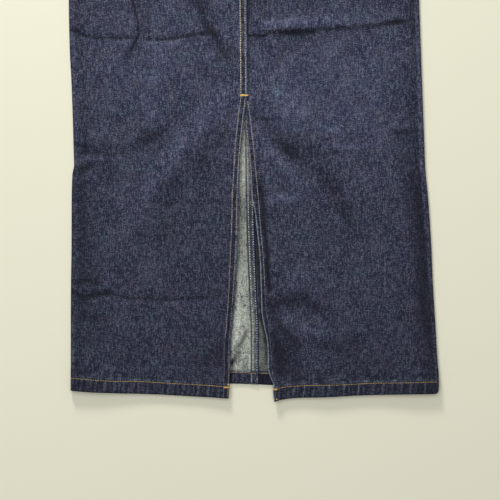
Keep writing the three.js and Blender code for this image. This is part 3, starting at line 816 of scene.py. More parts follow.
# each thread's slot, and its material from its shaded to its lit colour
threads = {
    "beige": ("seam_thread", thread("beige_thread", (0.24, 0.20, 0.14), (0.70, 0.61, 0.44))),
    "pale": ("seam_thread", thread("pale_thread", (0.16, 0.165, 0.16), (0.80, 0.82, 0.80))),
    "worn": ("seam_thread", thread("worn_thread", (0.035, 0.04, 0.065), (0.19, 0.185, 0.21))),
    "greyBeige": ("seam_thread", thread("grey_beige_thread", (0.15, 0.14, 0.13), (0.56, 0.52, 0.45))),
    "bright": ("hem_thread", thread("bright_gold_thread", (0.50, 0.30, 0.07), (0.96, 0.64, 0.17))),
    "gold": ("hem_thread", thread("golden_thread", (0.22, 0.145, 0.055), (0.80, 0.54, 0.19))),
}
buttonMetal = metalMaterial()
zipCloth = tapeMaterial()
print("materials ready")


def assign(piece, materials):
    for material in materials:
        piece.data.materials.append(material)
    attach(piece, "root")
    return piece


# columns lie in from the side and the inner edge by the given steps; the ones between are given
# by how many there are, and the place, width and amount of their crowding
panels = dict(
    sideSteps=(0, 0.25, 0.6, 1.1, 1.8, 2.8, 4.2, 6, 7.4, 8.6, 9.6, 10.5, 11.4, 13, 15),
    frontInner=(15, 13, 11.8, 11.0, 10.4, 9.8, 9.0, 8.2, 7.4, 6.4, 5.2, 4.0, 3.2, 2.4, 1.7, 1.0, 0.5,
                0.15, 0),
    backInner=(13, 11.6, 11.0, 10.4, 9.8, 9.2, 8.4, 7.0, 5.0, 3.4, 2.0, 1.2, 0.5, 0),
    leftColumns=(112, 0.365, 0.05, 1.6),
    rightColumns=(108, 0.8, 0.2, 0.2),
    backColumns=(72, 1.0, 0.3, 2.6),
    frontRows=((0, 22, 1.1), (22, 462, 2.2), (462, 506, 1.3), (506, 530, 2.4), (530, panelTop - 2, 4.6)),
    backRows=((0, 45, 1.3), (45, 330, 2.8), (330, panelTop - 3, 8.0)),
)
# how strongly the cloth is worn, and how strong its painted shade and painted highlight are, in its places
toneStrength = dict(
    aboveHem=0.5,         # worn line above the hem
    outsideAboveHem=0.25,
    wornRibs=0.13,
    # painted shade and painted highlight along the hem's ribs
    ribs=0.30,
    leftHem=0.17,
    rightHem=0.25,
    outsideHem=0.2,
    # painted shade along the hem's stitch row
    hemRow=0.45,
    # painted shade along the hem's lower edge
    hemEdgeShade=0.2,
    # painted shade along the side edges, on the front and on the outside
    sideEdgeShade=0.45,
    outsideEdgeShade=0.3,
    slitTop=0.9,          # painted shadow in the hole at the slit's upper end
    # painted shadow beside the lap's edge
    lapEdgeShadow=0.75,
    leftPuckerShade=0.42,       # painted shade in the puckered, needle-pierced seam between the stitch rows
    rightPuckerShade=0.5,
    leftSlitEdge=0.30,
    rightSlitEdge=1.55,
    # painted highlight on the seam allowance's ridge by the side
    ridge=0.10,
    lapEdge=0.65,         # painted shade inside, beside the back seam's lap
    # painted shade between and along the back seam's stitch rows
    lapRowShade=0.78,
    besideFlapLight=0.56,      # painted light inside, beside the slit's left edge
    # painted shade inside, at the foot of the slit's left edge
    underFlapShade=0.4,
    # painted shade in the inside's wrinkles
    insideWrinkleShade=0.68,
    # painted shade on the inside right of the back seam, under the slit's right edge
    rightInsideShade=0.65,
    insideHem=0.50,
)

# painted light falloff: the cloth is a little darker towards the hem and lighter towards the hips, and
# painted shade makes its inside darker up in the slit
falloffShade = curveThrough([
    (0, -0.40), (80, -0.38), (180, -0.30), (260, -0.24), (330, -0.12), (400, 0), (460, 0),
    (520, -0.10), (880, -0.02)])
insideShade = curveThrough([
    (0, 0.0), (80, 0.01), (130, -0.05), (200, -0.29), (235, -0.33), (300, -0.02), (345, -0.02),
    (400, -0.35), (880, -0.35)])


# how far a place is in the turned-up hem, and the ribs there
def hemBand(row, x):
    return blend(row, skirt["hemDepth"] - 1.0, skirt["hemDepth"] - 2.0), roping(row, x, 1.0)


# worn and shaded places of a front panel
def frontTones(isLeft, x, up):
    row, fromSide, fromInner = frontPlace(isLeft, x, up)
    row = hemRow(row, x)
    band, ribs = hemBand(row, x)
    spots = np.clip(np.sin(x / 2.3 + 2 * np.sin(x / 17)) + 0.6 * np.sin(x / 5.9 + 1) - 0.2, 0, 1)
    patches = 0.35 + 0.65 * np.clip(np.sin(x / 23 + 1) + 0.6 * np.sin(x / 9.1) + 0.2, 0, 1)
    worn = mark(row - skirt["hemDepth"] - 1.5, 1.3) * (0.06 + toneStrength["aboveHem"] * spots) * patches
    worn += band * np.clip(ribs - 0.3, 0, 1) * toneStrength["wornRibs"]
    shade = falloffShade(up) - toneStrength["leftHem" if isLeft else "rightHem"] * band
    # painted shade and painted highlight along the hem's ribs, painted shade along its stitch row and its
    # lower edge
    shade += toneStrength["ribs"] * band * np.clip(ribs, -1, 1)
    shade -= toneStrength["hemRow"] * mark(row - skirt["hemStitch"] - 1.1, 0.6)
    shade -= toneStrength["hemEdgeShade"] * band * blend(row, 2.5, 0.5)
    # painted shade along the side edge, where the cloth rounds down
    shade -= toneStrength["sideEdgeShade"] * mark(fromSide - 0.6, 1.0)
    # painted shade and painted highlight of the folds
    shade += foldField(x, up)[1]
    # painted shadow in the hole at the slit's upper end
    shade -= toneStrength["slitTop"] * mark(np.hypot((x + 7.8) / 1.3, (up - 392.8) / 3.2), 1)
    inSlit = blend(row, 397, 392)
    # painted shade between the stitch rows: in the seam's groove and in a row of pucker dots
    puckerShade = np.clip(np.sin(up / 1.5 + 2.4 * np.sin(up / 13)), 0, 1)
    if isLeft:
        outer, inner = leftOuter(up), leftInner(up)
        between = blend(x, outer + 0.5, outer + 1.4) * blend(x, inner - 0.5, inner - 1.4)
        shade -= between * (0.08 + toneStrength["leftPuckerShade"] * puckerShade + 0.14 * inSlit + 0.25 * blend(up, 200, 110))
        # painted highlight on the seam allowance's ridge by the side
        shade += toneStrength["ridge"] * blend(fromSide, 4.6, 3.8) * blend(fromSide, 1.4, 2.2)
        # painted shade where the cloth falls away towards the left side
        shade -= leftBesideShade(up) * blend(fromSide, 26, 14) * blend(fromSide, 6, 9)
        shade -= 0.05 + 0.05 * blend(fromSide, 60, 25)
        worn += toneStrength["leftSlitEdge"] * mark(fromInner - 0.8, 0.9)
    else:
        outer, inner = rightOuter(up), np.maximum(rightInner(up), slitRight(up) + 0.8)
        between = blend(x, inner + 0.4, inner + 1.2) * blend(x, outer - 0.5, outer - 1.4) * inSlit
        shade -= between * (0.22 + toneStrength["rightPuckerShade"] * puckerShade)
        # painted shadow cast by the lap's edge onto the right panel, above the slit
        beside = mark(x - lapEdge(up) - 1.3, 1.7) * (1 - inSlit)
        shade -= toneStrength["lapEdgeShadow"] * beside * (0.45 + 0.55 * blend(up, 410, 450))
        width = ridgeWidth(up)
        # painted highlight on the seam allowance's ridge by the side
        shade += toneStrength["ridge"] * blend(fromSide, width + 0.8, width - 0.4) * blend(fromSide, 1.4, 2.2)
        # painted shade where the cloth falls away beside the ridge, and a painted shade line along the
        # ridge's foot
        pastRidge = blend(fromSide, width - 0.2, width + 1.4)
        shade -= besideShade(up) * blend(fromSide, besideReach(up), 9) * pastRidge
        shade -= 0.12 * blend(fromSide, 60, 25) + 0.25 * mark(fromSide - width - 1.2, 0.9)
        shade += 0.10 * blend(up, 250, 330) - 0.13 * blend(up, 430, 480)
        worn += toneStrength["rightSlitEdge"] * mark(fromInner, 1.0) * blend(up, 312, 225) * inSlit
    return dict(worn=np.clip(worn, 0, 1.5), shade=np.clip(shade, -0.85, 0.5))


# the back's inside, which shows in the slit
def backTones(isLeft, x, up):
    row, _, fromInner = backPlace(isLeft, x, up)
    shade = insideShade(up) - 0.1 * blend(row, 24, 17)
    navy = np.zeros(np.shape(x))
    if isLeft:
        fell = skirt["fellWidth"]
        along = np.sin(up / 1.7 + 2.2 * np.sin(up / 15)) + 0.7 * np.sin(up / 4.3 + 1)
        navy = 0.8 * mark(fromInner - fell + 0.3, 0.9) + blend(fromInner, 3.9, 3.1)
        # painted shade along the lap's edge, between the stitch rows and in the puckers, with small painted
        # highlights between
        shade -= toneStrength["lapEdge"] * mark(fromInner - fell + 0.1, 0.75)
        shade -= toneStrength["lapRowShade"] * mark(fromInner - 5.5, 0.95) + 0.4 * mark(fromInner - 7.4, 1.3)
        shade -= (0.2 + 0.3 * np.clip(along, -0.5, 1)) * mark(fromInner - 3.4, 1.6)
        shade += 0.24 * np.clip(-along, 0, 1) * mark(fromInner - 4.1, 0.6)
        shade -= 0.4 * blend(fromInner, 0.9, 0.3)
        # painted light inside beside the slit's left edge, and painted shade at its foot
        lit = blend(up, 50, 75) * blend(up, 180, 140)
        shade += toneStrength["besideFlapLight"] * mark(x - lapEdge(up) - 2, 6) * lit
        shade -= toneStrength["underFlapShade"] * mark(x - lapEdge(up) - 1, 6) * blend(up, 62, 50)
        # painted shade in the inside's wrinkles
        for points in ([(-8, 97), (-12, 84), (-17, 75), (-28, 64)], [(-18, 67), (-23, 58), (-31, 46)]):
            distance, share = fromLine(points, x, up)
            ends = np.clip(4 * share * (1 - share) + 0.3, 0, 1)
            shade -= toneStrength["insideWrinkleShade"] * mark(distance, 3.3) * ends
    else:
        # painted shade on the inside right of the seam, darkest by the slit's right edge, and along a crease
        shade -= toneStrength["rightInsideShade"] + 0.25 * mark(slitRight(up) - x, 4) * blend(up, 40, 60)
        shade -= 0.25 * mark(fromLine([(7, 112), (13, 98), (18, 82)], x, up)[0], 2.2)
    band, ribs = hemBand(row, x)
    # painted shadow along the top of the far hem, and over the ends of its band under the slit's edges
    shade -= 0.5 * mark(row - skirt["hemDepth"] - 0.7, 0.9)
    inShadow = 0.5 * blend(x, -26, -29) + (0 if isLeft else 0.48)
    shade = np.where(band > 0.5, 0.2 * np.clip(ribs, -1, 1) - toneStrength["insideHem"] - inShadow, shade)
    worn = 0.3 * mark(row - skirt["hemDepth"], 0.9) + 0.9 * band * mark(x + 2.9, 0.6)
    return dict(worn=worn, shade=np.clip(shade, -0.94, 0.65), navy=np.clip(navy * (1 - band), 0, 1))


# the back's outside, which faces the surface
def outsideTones(isLeft, x, up):
    row, fromSide, _ = backPlace(isLeft, x, up)
    band, ribs = hemBand(row, x)
    # the hem's ribs get painted shade and painted highlight here too
    shade = falloffShade(up) - toneStrength["outsideHem"] * band + toneStrength["ribs"] * band * np.clip(ribs, -1, 1)
    # painted shade along the side edge
    shade -= toneStrength["outsideEdgeShade"] * mark(fromSide - 0.6, 1.0)
    worn = toneStrength["outsideAboveHem"] * mark(row - skirt["hemDepth"] - 1.5, 1.3)
    worn += band * np.clip(ribs - 0.3, 0, 1) * toneStrength["wornRibs"]
    return dict(worn=worn, shade=np.clip(shade, -0.85, 0.5), navy=np.zeros(np.shape(x)))


def buildPanel(layer, side):
    front, isLeft = layer == "front", side == "left"
    outward = -1 if isLeft else 1
    hem = frontHem if front else backHem
    outline = leftSide if isLeft else rightSide
    columns = panels[side + "Columns" if front else "backColumns"]
    share, inset = columnPlaces(panels["sideSteps"], panels[layer + "Inner"], *columns)
    row = rowPlaces(panels[layer + "Rows"])[:, None] + 0 * share
    edge = frontInner(isLeft, row) if front else backInner(isLeft, aboveHem(backHem, 0, row))
    up = row
    for _ in range(3):
        x = outline(up) * (1 - share) + edge * share - outward * inset
        up = row + hem(x) * blend(row, skirt["hemBlend"], 0)
    surfaces, tones = (frontSurfaces, frontTones) if front else (backSurfaces, backTones)
    under, top = surfaces(isLeft, x, up)
    # the wrong side faces the skirt's inside, except on the turned-up hem
    inside = np.where(row[:-1, :-1] < skirt["hemDepth"] - 0.5, 0, 1)
    outer = np.zeros(inside.shape)
    topFaces, underFaces = (outer, inside) if front else (inside, outer)
    underTones = None if front else outsideTones(isLeft, x, up)
    name = f"{layer}_{side}_cloth"
    piece = shell(name, x, up, under, top, topFaces, underFaces, 0, tones(isLeft, x, up), underTones)
    assign(piece, (rightSideCloth, wrongSideCloth))
    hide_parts(f"{layer}_panel_{side}")
    size = (np.ptp(x) * mm, np.ptp(up) * mm)
    across = np.abs(np.diff(x, axis=1))
    area = np.sum((across[1:] + across[:-1]) / 2 * np.diff(up, axis=0)[:, 1:])
    print("panel ready:", name)
    return piece, size, area * mm * mm


clothPieces = {(layer, side): buildPanel(layer, side)
               for side in ("left", "right") for layer in ("front", "back")}


# form of one stitch, and how far one differs from the next
stitch = dict(rings=6, sides=7, stray=0.12, shortest=0.92, longest=1.06, arch=0.62, sunk=0.42, ply=1.1)


# sewn lines as joined rounded stitches; lines are (n, 3) arrays in mm, facing up or down
def sewn(name, kind, lines, length=2.6, pitch=3.2, width=0.85, height=0.42, facing=1, seed=1,
         paler=0.0, toneRange=(0.4, 0.95)):
    draw = np.random.default_rng(seed)
    rings, sides, stray = stitch["rings"], stitch["sides"], stitch["stray"]
    ringShare = np.linspace(0, 1, rings)
    angle = np.linspace(0, 2 * math.pi, sides, endpoint=False)
    points, faces, ply, tone = [], [], [], []
    for line in lines:
        run = np.concatenate(([0], np.cumsum(np.linalg.norm(np.diff(line, axis=0), axis=1))))
        margin = min(0.3, (run[-1] - length) / 2)
        starts = np.arange(margin, max(run[-1] - length, margin + 0.01), pitch)
        for start in starts:
            start = start + draw.uniform(-stray, stray)
            long = length * draw.uniform(stitch["shortest"], stitch["longest"])
            at = start + ringShare * long
            centre = np.stack([np.interp(at, run, line[:, k]) for k in range(3)], axis=-1)
            ahead = centre[-1] - centre[0]
            ahead /= np.linalg.norm(ahead)
            across = np.cross(np.array([0, 0, facing]), ahead)
            across /= np.linalg.norm(across)
            up = np.cross(ahead, across)
            thick = np.sqrt(np.clip(1 - (2 * ringShare - 1) ** 4, 0.03, 1))
            centre = centre + up * (height * (stitch["arch"] * thick - stitch["sunk"]))[:, None]
            centre = centre + across * draw.uniform(-stray, stray)
            ring = (np.cos(angle)[None, :, None] * across * (width / 2)
                    + np.sin(angle)[None, :, None] * up * (height / 2)) * thick[:, None, None]
            base = len(points) * rings * sides
            points.append((centre[:, None, :] + ring).reshape(-1, 3))
            plies = ringShare[:, None] * long / stitch["ply"] + angle[None, :] / (2 * math.pi)
            ply.append(plies.reshape(-1))
            tone.append(np.full(rings * sides, draw.uniform(*toneRange) + paler))
            for r in range(rings - 1):
                for s in range(sides):
                    n = (s + 1) % sides
                    faces.append((base + r * sides + s, base + r * sides + n,
                                  base + (r + 1) * sides + n, base + (r + 1) * sides + s))
            faces.append(tuple(base + s for s in reversed(range(sides))))
            faces.append(tuple(base + (rings - 1) * sides + s for s in range(sides)))
    flat = np.concatenate(points)
    flat[:, 1] -= skirt["length"] / 2
    mesh = bpy.data.meshes.new(name)
    mesh.from_pydata((flat * mm).tolist(), [], faces)
    mesh.polygons.foreach_set("use_smooth", np.ones(len(faces), bool))
    for attributeName, values in (("ply", ply), ("tone", tone)):
        layer = mesh.attributes.new(attributeName, "FLOAT", "POINT")
        layer.data.foreach_set("value", np.concatenate(values).astype(np.float32))
    piece = bpy.data.objects.new(name, mesh)
    bpy.context.collection.objects.link(piece)
    slot, material = threads[kind]
    return assign(piece, (material,))


# a line down a back panel, at a distance from its inner edge
def rowDown(isLeft, distance, start, end):
    outward = -1 if isLeft else 1
    row = np.arange(start, end, 0.8)
    x = backPlace(isLeft, 0, row)[2] * -outward + outward * distance
    return x, row + backHem(x) * blend(row, skirt["hemBlend"], 0)


# a line's points on the upper face of a panel
def raised(front, isLeft, x, up):
    surfaces = frontSurfaces if front else backSurfaces
    return np.stack([x, up, surfaces(isLeft, x, up)[1]], axis=-1)


# along a hem, from one x to another
def rowAcross(front, row, start, end, sag=0.0):
    hem = frontHem if front else backHem
    x = np.arange(start, end, 0.8)
    wander = 0.25 * np.sin(x / 31) + 0.2 * np.sin(x / 12.3 + 1) - sag * np.exp(-((x - 4) / 15) ** 2)
    return x, row + row - hemRow(row, x) + wander + hem(x) * blend(row, skirt["hemBlend"], 0)


# along one of the front's sewn rows, given by height
def sewnDown(isLeft, place, start, end):
    up = np.arange(start, end, 0.8)
    return raised(True, isLeft, place(up), up)


aboveTurnUp = skirt["hemDepth"] + 5.5
flyTop = flyBottom + 2
seamLines = [sewnDown(True, leftOuter, skirt["slitTop"] + 4, flyTop)]
seamInner = [sewnDown(True, leftInner, skirt["slitTop"] + 4, panelTop - 1)]
frontLeftLines = []
# J of the fly, two rows
flyRows = dict(insets=(28.0, 34.2), middle=31, curve=34)
for inset in flyRows["insets"]:
    turn = np.linspace(0, 1, 60)
    bottom = flyBottom - (inset - flyRows["middle"])
    straightUp = np.arange(panelTop - 1, bottom + flyRows["curve"], -1.0)
    curveX = inset * np.cos(turn * math.pi / 2) ** 0.9
    curveUp = bottom + flyRows["curve"] - flyRows["curve"] * np.sin(turn * math.pi / 2)
    lineIn = np.concatenate((np.full(len(straightUp), inset), np.maximum(curveX, 1.5)))
    lineUp = np.concatenate((straightUp, curveUp))
    frontLeftLines.append(raised(True, True, lapEdge(lineUp) - lineIn, lineUp))
topstitchLeft = sewn("front_left_topstitch", "beige", seamLines + frontLeftLines,
                     length=3.15, width=1.2, height=0.5, seed=2, paler=0.12, toneRange=(0.2, 1.0))
innerTopstitch = sewn("front_left_inner_topstitch", "greyBeige", seamInner,
                      length=3.15, width=1.15, height=0.5, seed=19, paler=0.0, toneRange=(0.1, 0.95))
slitLook = dict(length=3.15, width=0.78, height=0.36)
topLook = dict(length=3.15, width=0.95, height=0.42, paler=-0.2)
slitTopLines = [sewnDown(True, leftOuter, 215, skirt["slitTop"] + 3),
                sewnDown(True, leftInner, 215, skirt["slitTop"] + 3)]
slitTopStitch = sewn("slit_left_top_stitch", "greyBeige", slitTopLines, seed=18, **topLook)
slitLeftLines = [sewnDown(True, leftOuter, 82, 214), sewnDown(True, leftInner, 125, 214)]
slitLeftStitch = sewn("slit_left_stitch", "greyBeige", slitLeftLines, seed=15,
                      paler=-0.34, **slitLook)
wornLeft = sewn("slit_left_worn_stitch", "worn",
                [sewnDown(True, leftInner, aboveTurnUp, 124), sewnDown(True, leftOuter, 3, 81)],
                seed=16, **slitLook)
slitRightLines = [sewnDown(False, rightOuter, 150, 392), sewnDown(False, rightInner, 256, 366)]
topstitchRight = sewn("front_right_topstitch", "greyBeige", slitRightLines, seed=3,
                      length=3.15, width=0.9, height=0.42, paler=-0.3)
wornRight = sewn("front_right_worn_stitch", "worn",
                 [sewnDown(False, rightOuter, 4, 149)], seed=17, paler=-0.2, **slitLook)

hemX = [lapEdge(skirt["hemStitch"]) - 1.5, slitRight(skirt["hemStitch"]) + 2.0]
hemLeft = [raised(True, True, *rowAcross(True, skirt["hemStitch"], -237.0, hemX[0]))]
hemRight = [raised(True, False, *rowAcross(True, skirt["hemStitch"], hemX[1], 237.5))]
edgeUp = np.arange(6.5, 19, 0.8)
hemLeft.append(raised(True, True, lapEdge(edgeUp) - 1.4, edgeUp))
hemLook = dict(length=3.15, width=0.76, paler=-0.42, toneRange=(0.5, 0.9))
hemStitchLeft = sewn("front_left_hem_stitch", "gold", hemLeft, seed=4, **hemLook)
hemStitchRight = sewn("front_right_hem_stitch", "gold", hemRight, seed=5, **hemLook)


# dense bar of short stitches across a line
def barTack(front, isLeft, start, end, up, high, pitch=0.27):
    lines = []
    for k, x in enumerate(np.arange(start, end, pitch)):
        tall = np.linspace(up - high / 2, up + high / 2, 6)
        lean = 0.18 * (1 if k % 2 else -1)
        lines.append(raised(front, isLeft, x + lean * np.linspace(-1, 1, 6), tall))
    return lines


cornerLeft = barTack(True, True, -38.4, -32.4, 18.9, 2.6) + barTack(True, True, -33.7, -32.3, 22.4, 3.6)
cornerRight = barTack(True, False, 25.0, 30.4, 16.2, 3.2) + barTack(True, False, 28.9, 30.1, 3.4, 1.8)
cornerLook = dict(length=2.6, pitch=9, width=0.5, height=0.5, paler=-0.4)
cornerTackLeft = sewn("left_corner_tack", "bright", cornerLeft, seed=20, **cornerLook)
cornerTackRight = sewn("right_corner_tack", "bright", cornerRight, seed=21, **cornerLook)

tack = dict(start=-17.6, end=-7.4, up=397.0, high=3.0)
tackLines = barTack(True, True, tack["start"], tack["end"], tack["up"], tack["high"])
slitTack = sewn("slit_bar_tack", "bright", tackLines, length=2.4, pitch=9,
                width=0.5, height=0.6, seed=6, paler=0.25)
flyTacks = []
for inset in (3.0, 26.0):
    middle = lapEdge(flyBottom + 3) - inset
    flyTacks += barTack(True, True, middle - 2.6, middle + 2.6, flyBottom + 3 + (inset > 10) * 9, 2.0)
flyTack = sewn("fly_bar_tacks", "gold", flyTacks, length=1.5, pitch=9,
               width=0.5, height=0.6, seed=7)

backSeamLines = [raised(False, True, *rowDown(True, inset, 18, panelTop - 1)) for inset in skirt["backRows"]]
backTopstitch = sewn("back_seam_stitch", "pale", backSeamLines, seed=8, length=2.3,
                     width=0.9, toneRange=(0.1, 1.1))
inHem = [raised(False, True, *rowDown(True, inset, 2, 16)) for inset in (1.9, 8.8)]
backHemSeam = sewn("back_hem_seam_stitch", "greyBeige", inHem, seed=22, paler=-0.3,
                   **slitLook)
backHemLeft = raised(False, True, *rowAcross(False, skirt["hemStitch"] + 0.2, -230, backSeam(10) + 9, 1.3))
backHemRight = raised(False, False, *rowAcross(False, skirt["hemStitch"] + 0.2, backSeam(10) + 11, 230, 1.3))
backHemStitch = sewn("back_hem_stitch", "gold", [backHemLeft, backHemRight], seed=9,
                     length=3.1, width=0.8, paler=-0.4)


# the same rows on the outside of the back, which faces the surface
def outside(x, up):
    return np.stack([x, up, np.full(np.shape(x), relief["backOffFloor"])], axis=-1)


outerSeam = [outside(*rowDown(True, inset, 3, panelTop - 1)) for inset in skirt["backRows"]]
outerHem = [outside(*rowAcross(False, skirt["hemStitch"] + 0.2, -234, 234))]
backOuterSeam = sewn("back_outer_seam_stitch", "beige", outerSeam, facing=-1,
                     height=0.3, seed=10)
backOuterHem = sewn("back_outer_hem_stitch", "gold", outerHem, facing=-1,
                    height=0.3, seed=11)
print("stitching ready")


waistband = dict(
    insets=(0, 0.15, 0.4, 0.8, 1.3, 2.0, 2.8, 3.8, 5, 7, 9.5, 12, 15, 19),
    edge=1.2,
    rowInset=2.4,
    rowDepth=0.22,
    swell=0.10,
    stitchSunk=0.2,
    frontPoints=74,       # points along the runs of the band
    turnPoints=10,
    backPoints=128,
    leftPoints=42,
    rampPoints=8,
    overPoints=18,
    rampStart=16,         # where it rises over the underlap, and where it lies on it again
    rampEnd=4,
    flatAt=861.0,         # height at which its length is measured
)
bandMiddle = skirt["length"] - skirt["bandHeight"] / 2


# x and z of the doubled cloth's middle: front, right turn, back, left turn, then over the underlap
def bandPath(up):
    wall = skirt["bandWall"]
    turn = (wall + skirt["gap"]) / 2
    back = wall / 2
    front = back + 2 * turn
    over = front + 2 * turn
    lapEnd = lapEdge(up)
    underEnd = lapEnd - skirt["underlap"]
    left = leftSide(up) + wall / 2 + turn
    right = rightSide(up) - wall / 2 - turn
    arc = np.linspace(0, math.pi, waistband["turnPoints"] + 2)[1:-1]
    ramp = np.linspace(0, 1, waistband["rampPoints"] + 2)[1:-1]
    rampStart = underEnd - waistband["rampStart"]
    rampWidth = waistband["rampStart"] - waistband["rampEnd"]
    frontRun = np.linspace(underEnd, right, waistband["frontPoints"])
    backRun = np.linspace(right, left, waistband["backPoints"])
    leftRun = np.linspace(left, rampStart, waistband["leftPoints"])
    overRun = np.linspace(underEnd - waistband["rampEnd"], lapEnd, waistband["overPoints"])
    x = [frontRun, right + turn * np.sin(arc), backRun, left - turn * np.sin(arc), leftRun,
         rampStart + rampWidth * ramp, overRun]
    z = [np.full(len(frontRun), front), back + turn + turn * np.cos(arc), np.full(len(backRun), back),
         back + turn - turn * np.cos(arc), np.full(len(leftRun), front),
         front + (over - front) * blend(ramp, 0, 1), np.full(len(overRun), over)]
    return np.concatenate(x), np.concatenate(z)


def buildBand():
    inset = np.array(waistband["insets"])
    stations = np.concatenate((bandBottom + inset, skirt["length"] - inset[-2::-1]))
    half = skirt["bandWall"] / 2
    underX, topX, ups, under, top, worn, shade = [], [], [], [], [], [], []
    for up in stations:
        x, z = bandPath(up)
        runX, runZ = np.gradient(x), np.gradient(z)
        size = np.hypot(runX, runZ)
        acrossX, acrossZ = -runZ / size, runX / size
        fromEdge = min(up - bandBottom, skirt["length"] - up)
        thick = 0.3 + 0.7 * float(rounded(np.array(fromEdge), waistband["edge"]))
        pinch = waistband["rowDepth"] * math.exp(-((fromEdge - waistband["rowInset"]) / 1.0) ** 2)
        ripples = np.sin(np.arange(len(x)) * 1.7 + up / 9)
        swell = waistband["swell"] * ripples * math.exp(-((fromEdge - 4.5) / 3) ** 2)
        reach = half * thick - pinch
        topX.append(x + acrossX * (reach + swell))
        top.append(z + acrossZ * (reach + swell))
        underX.append(x - acrossX * reach)
        under.append(z - acrossZ * reach)
        ups.append(np.full(len(x), up))
        worn.append(np.full(len(x), 0.5 * math.exp(-((fromEdge - 0.3) / 0.7) ** 2)))
        # painted shade along the band's stitch rows
        shade.append(np.full(len(x), -0.25 * math.exp(-((fromEdge - waistband["rowInset"]) / 0.9) ** 2)))
    return [np.array(v) for v in (underX, topX, ups, under, top, worn, shade)]


underX, topX, bandUp, bandUnder, bandTopZ, bandWorn, bandShade = buildBand()
for z in (bandUnder, bandTopZ):
    np.maximum(z, relief["backOffFloor"], out=z)
oneMaterial = np.zeros(np.subtract(topX.shape, 1))
bandPiece = shell("waistband_cloth", topX, bandUp, bandUnder, bandTopZ, oneMaterial, oneMaterial, 0,
                  dict(worn=bandWorn, shade=bandShade))
# the underside of a turn lies at another x than its top
coordinates = np.empty(len(bandPiece.data.vertices) * 3)
bandPiece.data.vertices.foreach_get("co", coordinates)
coordinates = coordinates.reshape(-1, 3)
coordinates[:underX.size, 0] = underX.reshape(-1) * mm
bandPiece.data.vertices.foreach_set("co", coordinates.reshape(-1))
bandPiece.data.update()
assign(bandPiece, (rightSideCloth,))
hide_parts("waistband")


# a sewn line along one run of the band
def bandLine(fromBottom, which):
    up = bandBottom + fromBottom
    x, z = bandPath(up)
    half = skirt["bandWall"] / 2
    backStart = waistband["frontPoints"] + waistband["turnPoints"]
    backEnd = backStart + waistband["backPoints"]
    runs = {"front": slice(0, waistband["frontPoints"]), "back": slice(backStart, backEnd),
            "left": slice(backEnd + waistband["turnPoints"], None)}
    x, z = x[runs[which]], z[runs[which]]
    if which == "back":
        return np.stack([x, np.full(len(x), up), np.full(len(x), relief["backOffFloor"])], axis=-1)
    return np.stack([x, np.full(len(x), up), z + half - waistband["stitchSunk"]], axis=-1)


bandRows = (waistband["rowInset"], skirt["bandHeight"] - waistband["rowInset"])
frontBandLines = [bandLine(at, which) for at in bandRows for which in ("front", "left")]
endUp = np.arange(bandBottom + 3, skirt["length"] - 3, 0.8)
overZ = 5 * skirt["bandWall"] / 2 + 2 * skirt["gap"] + skirt["bandWall"] / 2 - waistband["stitchSunk"]
frontBandLines.append(np.stack([lapEdge(endUp) - 2.4, endUp, np.full(len(endUp), overZ)], axis=-1))
bandStitch = sewn("waistband_topstitch", "beige", frontBandLines, seed=12)
bandBackStitch = sewn("waistband_back_stitch", "beige",
                      [bandLine(at, "back") for at in bandRows], facing=-1, height=0.3, seed=13)

buttonAt = dict(
    inset=15.0,
    radius=8.5,
    height=3.4,
    segments=72,
    beads=24,
    beadRing=5.65,
    beadRadius=0.42,
    beadUp=2.6,
    beadLevels=5,
    beadSides=8,
    holeStart=-13.5,      # the buttonhole, from the button's middle
    holeEnd=10.5,
    holePitch=0.55,
    holeInner=0.35,
    holeOuter=1.9,
)
buttonX = float(lapEdge(bandMiddle)) - buttonAt["inset"]
buttonZ = 3 * skirt["bandWall"] + 3 * skirt["gap"]
holeLines = []
for along in np.arange(buttonAt["holeStart"], buttonAt["holeEnd"], buttonAt["holePitch"]):
    for side in (-1, 1):
        tall = np.linspace(buttonAt["holeInner"], buttonAt["holeOuter"], 5) * side
        holeLines.append(np.stack([np.full(5, buttonX + along), bandMiddle + tall,
                                   np.full(5, overZ)], axis=-1))
buttonhole = sewn("buttonhole_stitch", "beige", holeLines, length=1.4, pitch=9,
                  width=0.5, height=0.5, seed=14)
print("waistband ready")


